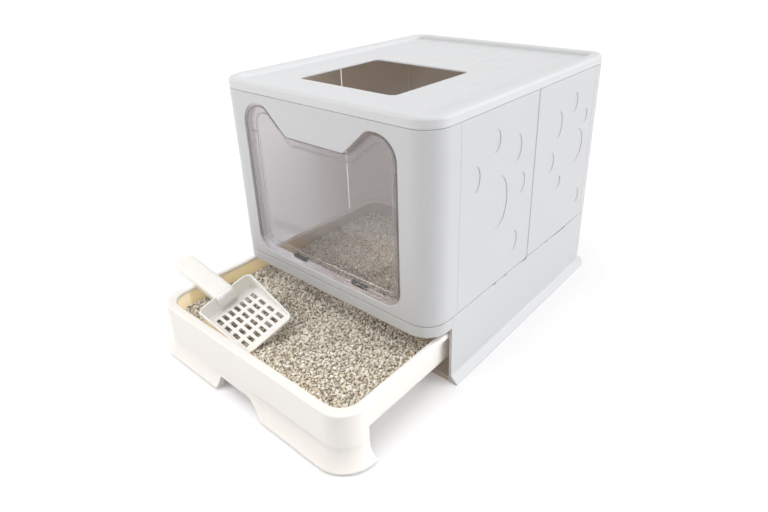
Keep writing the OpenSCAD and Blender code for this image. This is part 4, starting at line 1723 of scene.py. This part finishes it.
@dataclass(frozen=True)
class Scoop:
    """The slotted scoop."""

    s: ScoopSizes

    def pose(self) -> Matrix:
        """Where the scoop lies, from its own frame to the object's."""
        s = self.s
        z = DRAWER.litter_z + BOX.clear + s.sag
        turn = Euler((math.radians(-s.roll), math.radians(-s.tilt), math.radians(180 + s.turn)), "XYZ")
        return Matrix.Translation((s.x, FASCIA_Y + s.inwards, z)) @ turn.to_matrix().to_4x4()

    def height(self, u: float) -> float:
        """Height of the pan's sides at a distance from its mouth."""
        s = self.s
        t = min(1.0, max(0.0, u / (s.pan_l - s.pan_r)))
        return s.lip_low + (s.pan_h - s.lip_low) * (t * t * (3 - 2 * t) * 0.6 + t * 0.4)

    def pan(self) -> Mesh:
        """The pan, with its slots."""
        s = self.s
        ends = ((0, -s.mouth_w), (s.pan_l, -s.pan_w), (s.pan_l, s.pan_w), (0, s.mouth_w))
        outline = Outline(tuple((u, w / 2, s.pan_r) for u, w in ends))
        soft, lip, r, t = s.under_r, s.rim_r, s.inner_r, s.wall
        # Each level is an inset and a height that depends on the distance from the mouth
        levels: list[tuple[float, Callable[[float], float]]] = [(soft, lambda u: 0.0)]
        for a in steps_to(math.pi / 2, 5):
            levels.append((soft - soft * math.sin(a), lambda u, a=a: soft - soft * math.cos(a)))
        for a in steps_to(math.pi, 8):
            inset = t / 2 - t / 2 * math.cos(a)
            levels.append((inset, lambda u, a=a: max(soft + 0.3, self.height(u) - lip) + lip * math.sin(a)))
        for a in steps_to(math.pi / 2, 6):
            drop, inset = r - r * math.sin(a), t + r - r * math.cos(a)
            levels.append((inset, lambda u, d=drop: t + min(d, max(0.2, self.height(u) - lip - t) * d / r)))
        rings = []
        for inset, z in levels:
            rings.append([Vector((u, v, z(u))) for u, v in outline.inset(inset).points()])
        shape = Shape()
        shape.capped(rings)
        shape.close()
        tool = Shape()
        for row in range(s.rows):
            for col in range(s.cols):
                u = s.start + row * s.pitch_y
                v = (col - (s.cols - 1) / 2) * s.pitch_x
                lo = (u - s.slot_l / 2, v - s.slot_w / 2, -2)
                tool.block(lo, (u + s.slot_l / 2, v + s.slot_w / 2, t + 2), 1.2, 3)
        return cut(shape.mesh("pan"), tool.mesh("slots"))

    def handle(self) -> Mesh:
        """The handle, a deep rounded bar."""
        s = self.s
        r = s.handle_w / 2
        start = s.pan_l - 8
        end = r * 0.98
        outline = Outline(((start, -r, 6), (s.length, -r, end), (s.length, r, end), (start, r, 6)), True, 12)
        top, low, soft = s.pan_h, s.pan_h - s.handle_d, s.handle_r
        profile = [(s.wall, low + 0.4), (0.6, low), (0, low + 0.6), (0, top - soft)]
        profile += [*arc(soft, top - soft, soft, 180, 90, 8), (soft + 4, top + 0.4)]
        shape = Shape()
        ends = shape.loft(plan_rings(outline, profile))
        shape.fill(ends[-1])
        hollow = [(s.wall, low + 0.4), (s.wall, top - 5), (s.wall + 3, top - s.wall)]
        inner = shape.loft(plan_rings(outline, hollow))
        shape.fill(inner[-1])
        shape.close()
        return shape.mesh("handle")

    def build(self) -> Object:
        """Makes the scoop."""
        merged = join([self.pan(), self.handle()], "scoop_look")
        pose = self.pose()
        pose.translation *= MM
        merged.transform(pose)
        return finish_piece(merged, "scoop_look", SCOOP_PLASTIC, Body.SCOOP, ["scoop"])


@dataclass(frozen=True)
class Flap:
    """The clear swinging flap."""

    door: DoorSizes

    def profile(self) -> list[Triple]:
        """The flap's section from the pane's front, round its edge, to the pane's back.

        Returns:
            Each point as inset from the doorway, distance behind the flap's middle, and tone, the painted
            shade of the thick edge.
        """
        d = self.door
        half, pane, gap = d.band_t / 2, d.pane_t / 2, d.gap
        rim, wall = gap + d.band_w, gap + d.flange_t
        tip = d.back + half - d.flange_in
        side = [
            (rim + 6, pane, 0.0),
            (rim + 2.6, pane, 0.0),
            (rim + 1.4, pane, 0.03),
            (rim + 0.5, pane, 0.7),
            (rim - 0.3, half - 0.25, 0.4),
            (rim - 1.2, half, 0.04),
            (rim - 3.5, half, 0.0),
        ]
        flange = [
            (wall + 2.5, -half, 0.02),
            (wall + 0.5, -half, 0.2),
            (wall, -half - 0.5, 0.2),
            (wall, -half - 1.5, 0.05),
            (wall, -tip + 1.6, 0.08),
            (wall, -tip + 0.4, 0.9),
            (wall - 0.4, -tip, 1.0),
            (gap + 0.4, -tip, 1.0),
            (gap, -tip + 0.4, 1.0),
            (gap, -tip + 1.6, 0.2),
            (gap, half - 0.5, 0.1),
            (gap + 0.5, half, 0.1),
            (gap + 3, half, 0.02),
        ]
        return [*((a, -y, t) for a, y, t in side), *flange, *reversed(side)]

    def outline(self) -> Outline:
        """The doorway's outline, with a corner more at each end of the flange's recess."""
        d = self.door
        corners = list(doorway().corners)
        slope = (EAR_Z - BROW_Z) / (d.ear_inner - d.brow_half)
        side, rise = d.brow_half + d.brow_run, BROW_Z + slope * d.brow_run
        corners[4:4] = [(side, rise, 0.0)]
        corners[7:7] = [(-side, rise, 0.0)]
        return Outline(tuple(corners), True, 10)

    def front_limit(self, x: float, z: float) -> float:
        """How far forward the flange may reach, so that it swings past the edge between the ears."""
        d = self.door
        if z < PIN_Z or z > BROW_Z + d.brow_run:
            return -math.inf
        share = min(1.0, max(0.0, (abs(x) - d.brow_half) / d.brow_run))
        if share >= 1.0:
            return -math.inf
        near, far = FLAP_Y - BROW_REACH, BOX.front_y + d.flange_in
        return near + (far - near) * share

    def build(self) -> Object:
        """Makes the flap as one clear solid with a thick, flanged edge."""
        shape = Shape()
        shape.bm.verts.layers.float.new(TONE)
        profile = self.profile()
        rings = wall_rings(self.outline(), [(a, FLAP_Y + y) for a, y, _ in profile])
        for point in (p for ring in rings for p in ring):
            point.y = max(point.y, self.front_limit(point.x, point.z))
        # The tones paint shade along the flap's thick edge.
        shape.capped(rings, [t for _, _, t in profile])
        shape.close()
        mesh = shape.mesh("flap_look")
        return finish_piece(mesh, "flap_look", SMOKED_CLEAR, Body.FLAP, ["flap_door"])


@dataclass(frozen=True)
class LitterSizes:
    """Sizes of the loose litter.

    Attributes:
        spacing: Distance between grains.
        grain: A grain's middle radius.
        swell: Height of the surface's waves.
        waves: How many waves the surface adds up.
        wave_l: The shortest and the longest of them.
        level: Middle height of the surface.
        mounds: Each mound as (place across, place along, radius, height), placed by shares.
        bed_step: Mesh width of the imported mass.
        bed_gap: Room between that mass and the basin's walls.
        bed_drop: How far it lies under the surface.
        gap: Room between the middles of the grains and the walls.
        jitter: How far a grain strays, as a share of the spacing.
        rise: The deepest and the highest place of a grain's middle over the surface.
        small: The smallest and the largest radius.
        vary: Spread of the radius and of a grain's lumps.
        press: How far the surface stays under the scoop.
        bank: How steeply it rises beside the scoop.
        chunk: Grains in one piece.
    """

    spacing: float = 3.3
    grain: float = 1.85
    swell: float = 0.9
    waves: int = 14
    wave_l: Point = (18, 95)
    level: float = 59.2
    mounds: tuple[Four, ...] = (
        (0.41, 0.216, 68, 7),
        (-0.44, 0.351, 58, 9),
        (0.35, 0.514, 72, 6),
        (-0.39, 0.637, 78, 9),
        (0.48, 0.773, 66, 8),
    )
    bed_step: float = 4.0
    bed_gap: float = 2.5
    bed_drop: float = 1.6
    gap: float = 3.4
    jitter: float = 0.42
    rise: Point = (-1.1, 0.9)
    small: Point = (0.9, 3.0)
    vary: float = 0.22
    press: float = 2.2
    bank: float = 0.8
    chunk: int = 9000


class Litter:
    """Loose granules in the basin."""

    PALETTE = (
        ((0.78, 0.71, 0.59), 0.35),
        ((0.90, 0.85, 0.76), 0.30),
        ((0.64, 0.57, 0.47), 0.17),
        ((0.42, 0.37, 0.31), 0.08),
        ((0.95, 0.93, 0.88), 0.10),
    )

    BED_COLOR = (0.46, 0.40, 0.32)

    def __init__(self, sizes: LitterSizes, scoop: Matrix) -> None:
        """Keeps the sizes and the scoop's pose, under which the litter stays."""
        self.s = sizes
        self.under = scoop.inverted()
        self.rng = np.random.default_rng(SEED)
        phases = self.rng.uniform(0, 2 * math.pi, (sizes.waves, 2))
        waves = self.rng.uniform(*sizes.wave_l, sizes.waves)
        angles = self.rng.uniform(0, math.pi, sizes.waves)
        self.waves = list(zip(waves, angles, phases[:, 0]))

    def level(self, x: np.ndarray, y: np.ndarray) -> np.ndarray:
        """Height of the litter at points of the basin.

        Args:
            x: Across.
            y: Along.

        Returns:
            Heights.
        """
        s = self.s
        z = np.full(x.shape, s.level)
        for wave, angle, phase in self.waves:
            along = x * math.cos(angle) + y * math.sin(angle)
            share = (0.3 + wave / s.wave_l[1]) * 0.42
            z = z + s.swell * share * np.sin(2 * math.pi * along / wave + phase)
        for along_x, along_y, r, h in s.mounds:
            away = np.hypot(x - along_x * BASIN_X, y - BASIN_FRONT - along_y * 2 * BASIN_HALF)
            z = np.maximum(z, s.level + h * (1 - (away / r) ** 2))
        return self.below_scoop(x, y, z)

    def below_scoop(self, x: np.ndarray, y: np.ndarray, z: np.ndarray) -> np.ndarray:
        """Presses the litter down where the scoop lies on it."""
        m = np.array(self.under, float)
        inv = np.linalg.inv(m)
        # Height of the pan's underside over a point, from the plane that it lies in
        normal, origin = inv[:3, 2], inv[:3, 3]
        plane = origin[2] - (normal[0] * (x - origin[0]) + normal[1] * (y - origin[1])) / normal[2]
        u = m[0, 0] * x + m[0, 1] * y + m[0, 2] * plane + m[0, 3]
        v = m[1, 0] * x + m[1, 1] * y + m[1, 2] * plane + m[1, 3]
        reach = SCOOP.pan_w / 2 + 2
        away = np.hypot(np.maximum(0, np.maximum(-4 - u, u - SCOOP.pan_l)), np.maximum(0, np.abs(v) - reach))
        limit = plane - self.s.press + away * self.s.bank
        return np.minimum(z, np.where(u < SCOOP.length, limit, z))

    def inside(self, x: np.ndarray, y: np.ndarray, margin: float) -> np.ndarray:
        """Whether points are inside the basin by a margin."""
        r = DRAWER.basin_r - margin
        hx = BASIN_X - DRAWER.draft - margin
        hy = BASIN_HALF - DRAWER.draft - margin
        dx, dy = np.abs(x) - (hx - r), np.abs(y - BASIN_Y) - (hy - r)
        return np.hypot(np.maximum(dx, 0), np.maximum(dy, 0)) + np.minimum(np.maximum(dx, dy), 0) <= r

    def bed(self) -> Object:
        """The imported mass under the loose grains."""
        shape = Shape()
        step = self.s.bed_step
        nx, ny = int(2 * BASIN_X / step), int(2 * BASIN_HALF / step)
        matrix = Matrix.Translation((0, BASIN_Y, 0)) @ Matrix.Diagonal((BASIN_X, BASIN_HALF, 1, 1))
        bmesh.ops.create_grid(shape.bm, x_segments=nx, y_segments=ny, size=1.0, matrix=matrix)
        xy = np.array([v.co[:2] for v in shape.bm.verts])
        keep = self.inside(xy[:, 0], xy[:, 1], self.s.bed_gap)
        gone = [v for v, k in zip(shape.bm.verts, keep) if not k]
        bmesh.ops.delete(shape.bm, geom=gone, context="VERTS")
        xy = np.array([v.co[:2] for v in shape.bm.verts])
        for v, z in zip(shape.bm.verts, self.level(xy[:, 0], xy[:, 1]) - self.s.bed_drop):
            v.co.z = z
        rim = [e for e in shape.bm.edges if e.is_boundary]
        skirt = bmesh.ops.extrude_edge_only(shape.bm, edges=rim)["geom"]
        for v in skirt:
            if isinstance(v, bmesh.types.BMVert):
                v.co.z = DRAWER.basin_z + DRAWER.wall + 0.5
        mesh = shape.mesh("litter_bed")
        self.tint(mesh, np.tile(self.BED_COLOR, (len(mesh.vertices), 1)))
        return finish_piece(mesh, "litter_bed", GRANULES, Body.DRAWER, ["litter"], 80.0, False)

    @staticmethod
    def tint(mesh: Mesh, colors: np.ndarray) -> None:
        """Stores a colour on every point of a mesh."""
        rows = np.concatenate([colors, np.ones((len(colors), 1))], 1).astype(np.float32)
        paint = mesh.color_attributes.new(GRANULES.attribute, "FLOAT_COLOR", "POINT")
        paint.data.foreach_set("color", rows.ravel())

    def grains(self) -> list[Object]:
        """The loose grains, in a few pieces."""
        s, rng = self.s, self.rng
        spacing = s.spacing * 1.0
        xs = np.arange(-BASIN_X, BASIN_X, spacing)
        ys = np.arange(BASIN_FRONT, BASIN_BACK, spacing * 0.9)
        gx, gy = np.meshgrid(xs, ys)
        gx = gx + (np.arange(len(ys)) % 2)[:, None] * spacing / 2
        x, y = (g.ravel() + rng.uniform(-s.jitter, s.jitter, g.size) * spacing for g in (gx, gy))
        size = np.clip(rng.lognormal(math.log(s.grain), s.vary, x.size), *s.small)
        keep = self.inside(x, y, s.gap)
        x, y, size = x[keep], y[keep], size[keep]
        z = self.level(x, y) + rng.uniform(*s.rise, x.size)
        middle = np.stack([x, y, z], 1)
        order = np.argsort(y)
        middle, size = middle[order], size[order]
        pieces = []
        for k, start in enumerate(range(0, len(middle), s.chunk)):
            part = slice(start, start + s.chunk)
            pieces.append(self.grain_piece(f"litter_grains_{k + 1}", middle[part], size[part]))
        LOG.info("%d grains in %d pieces", len(middle), len(pieces))
        return pieces

    def grain_piece(self, name: str, middle: np.ndarray, size: np.ndarray) -> Object:
        """One piece of the grains.

        Args:
            name: The piece's name.
            middle: Each grain's middle.
            size: Each grain's radius.

        Returns:
            The object.
        """
        rng = self.rng
        bm = bmesh.new()
        bmesh.ops.create_icosphere(bm, subdivisions=1, radius=1.0)
        base = np.array([v.co for v in bm.verts], float)
        faces = np.array([[v.index for v in f.verts] for f in bm.faces])
        bm.free()
        n, k = len(middle), len(base)
        lumps = 1 + rng.uniform(-self.s.vary, self.s.vary, (n, k, 1))
        shape = base[None] * lumps * rng.uniform(0.7, 1.3, (n, 1, 3))
        quats = rng.normal(size=(n, 4))
        quats /= np.linalg.norm(quats, axis=1)[:, None]
        w, a, b, c = quats.T
        rows = (
            (1 - 2 * (b * b + c * c), 2 * (a * b - c * w), 2 * (a * c + b * w)),
            (2 * (a * b + c * w), 1 - 2 * (a * a + c * c), 2 * (b * c - a * w)),
            (2 * (a * c - b * w), 2 * (b * c + a * w), 1 - 2 * (a * a + b * b)),
        )
        turn = np.stack([np.stack(row, 1) for row in rows], 1)
        points = np.einsum("nij,nkj->nki", turn, shape) * size[:, None, None] + middle[:, None]
        index = faces[None] + (np.arange(n) * k)[:, None, None]
        mesh = bpy.data.meshes.new(name)
        mesh.vertices.add(n * k)
        mesh.vertices.foreach_set("co", (points.reshape(-1) * MM).astype(np.float32))
        mesh.loops.add(index.size)
        mesh.loops.foreach_set("vertex_index", index.reshape(-1).astype(np.int32))
        mesh.polygons.add(index.size // 3)
        mesh.polygons.foreach_set("loop_start", np.arange(0, index.size, 3, dtype=np.int32))
        mesh.update(calc_edges=True)
        colours = np.array([c for c, _ in self.PALETTE])
        shares = np.array([p for _, p in self.PALETTE])
        pick = colours[rng.choice(len(colours), n, p=shares / shares.sum())]
        pick = pick * rng.uniform(0.85, 1.12, (n, 1))
        self.tint(mesh, np.repeat(pick, k, 0))
        return place_piece(mesh, name, GRANULES, Body.DRAWER)


# ---- Studio ----


@dataclass(frozen=True)
class View:
    """The camera, calibrated in image points of a 768 by 512 frame.

    Attributes:
        place: The eye, in millimetres.
        yaw: Turn from straight ahead, in degrees.
        pitch: Look down, in degrees.
        roll: Turn about the line of sight, in degrees.
        focal_px: Focal length.
        centre_px: Where the line of sight meets the image.
        size_px: The image's size.
    """

    place: Triple = (534.4, -693.4, 552.9)
    yaw: float = -40.8
    pitch: float = 24.9
    roll: float = -1.5
    focal_px: float = 572.0
    centre_px: Point = (395.46, 203.66)
    size_px: Point = (768.0, 512.0)

    def build(self) -> Object:
        """Makes the scene's camera."""
        yaw, pitch, roll = (math.radians(a) for a in (self.yaw, self.pitch, self.roll))
        level = math.cos(pitch)
        ahead = Vector((math.sin(yaw) * level, math.cos(yaw) * level, -math.sin(pitch)))
        right = ahead.cross(Vector((0, 0, 1))).normalized()
        up = right.cross(ahead)
        c, s = math.cos(roll), math.sin(roll)
        right, up = right * c + up * s, up * c - right * s
        data = bpy.data.cameras.new("camera")
        wide, high = self.size_px
        data.sensor_width = 36.0
        data.lens = data.sensor_width * self.focal_px / wide
        data.shift_x = (wide / 2 - self.centre_px[0]) / wide
        data.shift_y = (self.centre_px[1] - high / 2) / wide
        data.clip_start, data.clip_end = 0.01, 100.0
        camera = bpy.data.objects.new("camera", data)
        matrix = Matrix((right, up, -ahead)).transposed().to_4x4()
        matrix.translation = Vector(self.place) * MM
        camera.matrix_world = matrix
        bpy.context.scene.collection.objects.link(camera)
        bpy.context.scene.camera = camera
        return camera


def hang(name: str, data: bpy.types.Light, back: Vector) -> Object:
    """Makes a lamp that shines against a direction.

    Args:
        name: Its name.
        data: What kind of light it is.
        back: The direction from what it lights to the lamp.

    Returns:
        The object.
    """
    lamp = bpy.data.objects.new(name, data)
    lamp.rotation_mode = "QUATERNION"
    lamp.rotation_quaternion = back.to_track_quat("Z", "Y")
    bpy.context.scene.collection.objects.link(lamp)
    return lamp


@dataclass(frozen=True)
class Lamp:
    """A soft distant light.

    Attributes:
        name: Its name.
        azimuth: Where it stands, in degrees from +X towards +Y.
        elevation: Its height above the horizon, in degrees.
        strength: Its strength.
        spread: Its width, in degrees.
        color: Its colour.
    """

    name: str
    azimuth: float
    elevation: float
    strength: float
    spread: float
    color: Triple = WHITE

    def build(self) -> None:
        """Makes the light."""
        data = bpy.data.lights.new(self.name, "SUN")
        data.energy = self.strength
        data.angle = math.radians(self.spread)
        data.color = self.color
        a, e = math.radians(self.azimuth), math.radians(self.elevation)
        back = Vector((math.cos(a) * math.cos(e), math.sin(a) * math.cos(e), math.sin(e)))
        hang(self.name, data, back)


@dataclass(frozen=True)
class Softbox:
    """A large square lamp near the object.

    Attributes:
        name: Its name.
        place: Its middle, in metres.
        aim: The point that it faces, in metres.
        size: Its side, in metres.
        power: Its power, in watts.
    """

    name: str
    place: Triple
    aim: Triple
    size: float
    power: float

    def build(self) -> None:
        """Makes the lamp."""
        data = bpy.data.lights.new(self.name, "AREA")
        data.shape = "SQUARE"
        data.size = self.size
        data.energy = self.power
        hang(self.name, data, Vector(self.place) - Vector(self.aim)).location = self.place


@dataclass(frozen=True)
class Studio:
    """Floor, backdrop and lights."""

    floor_size: float = 60.0
    ambient: Triple = (0.375, 0.37, 0.365)
    lamps: tuple[Lamp | Softbox, ...] = (
        Lamp("right", 36.0, 18.0, 2.35, 45.0, (0.97, 0.985, 1.0)),
        Lamp("top", 225.0, 82.0, 1.38, 45.0),
        Softbox("left_front", (-0.6, -1.25, 0.85), (0.0, -0.2, 0.15), 0.7, 6.4),
    )

    def world(self) -> None:
        """A white backdrop that lights the object less than it shows."""
        made = bpy.data.worlds.new("studio")
        made.use_nodes = True
        tree = Tree(made.node_tree)
        low, high = (
            tree.shader("Background", {"Color": (*color, 1.0), "Strength": 1.0})
            for color in (self.ambient, WHITE)
        )
        tree.node("ShaderNodeOutputWorld", {"Surface": tree.blend(tree.looked_at(), low, high)})
        bpy.context.scene.world = made

    def floor(self) -> None:
        """The floor that takes the object's shadow."""
        bm = bmesh.new()
        bmesh.ops.create_grid(bm, x_segments=1, y_segments=1, size=self.floor_size / 2)
        mesh = bpy.data.meshes.new("floor")
        bm.to_mesh(mesh)
        bm.free()
        mesh.materials.append(STUDIO_FLOOR.material())
        floor = bpy.data.objects.new("floor", mesh)
        bpy.context.scene.collection.objects.link(floor)
        floor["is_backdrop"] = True

    def build(self) -> None:
        """Makes the whole studio."""
        self.world()
        self.floor()
        for lamp in self.lamps:
            lamp.build()
        bpy.context.scene.view_settings.view_transform = "Standard"


# ---- The whole ----


def paint_nodes(frame: dict) -> None:
    """Gives the nodes that are shown as they are their finish.
    """
    finishes = {"flap_pins": PIN_STEEL, "door_magnets": MAGNET_BLACK, "sill_magnets": MAGNET_BLACK}
    finishes.update({n: PIN_STEEL for n in frame["nodes"] if n.startswith("hinge_rod")})
    for name, finish in finishes.items():
        piece = frame["nodes"][name]
        piece.data.materials.clear()
        piece.data.materials.append(finish.material())


def measured() -> list[list[float]]:
    """The shown object's box as plain lists."""
    return [list(corner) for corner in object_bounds()]


def main(frame: dict, steps: list[list[list[float]]]) -> None:
    """Builds the object's looks and the studio.

    Args:
        steps: The measured boxes, added to here.
    """
    Panels(BOX, DOOR).build()
    Lid(BOX, LID).build()
    BaseTray(BOX, BASE).build()
    Drawer(BOX, DRAWER).build()
    scoop = Scoop(SCOOP)
    scoop.build()
    Flap(DOOR).build()
    litter = Litter(LitterSizes(), scoop.pose())
    litter.bed()
    litter.grains()
    paint_nodes(frame)
    Studio().build()
    View().build()
    steps.append(measured())
    LOG.info("object box %s", steps[-1])


if __name__ == "__main__":
    logging.basicConfig(level=logging.INFO, format="%(name)s: %(message)s")
    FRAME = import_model()
    STEPS = [measured()]
    main(FRAME, STEPS)
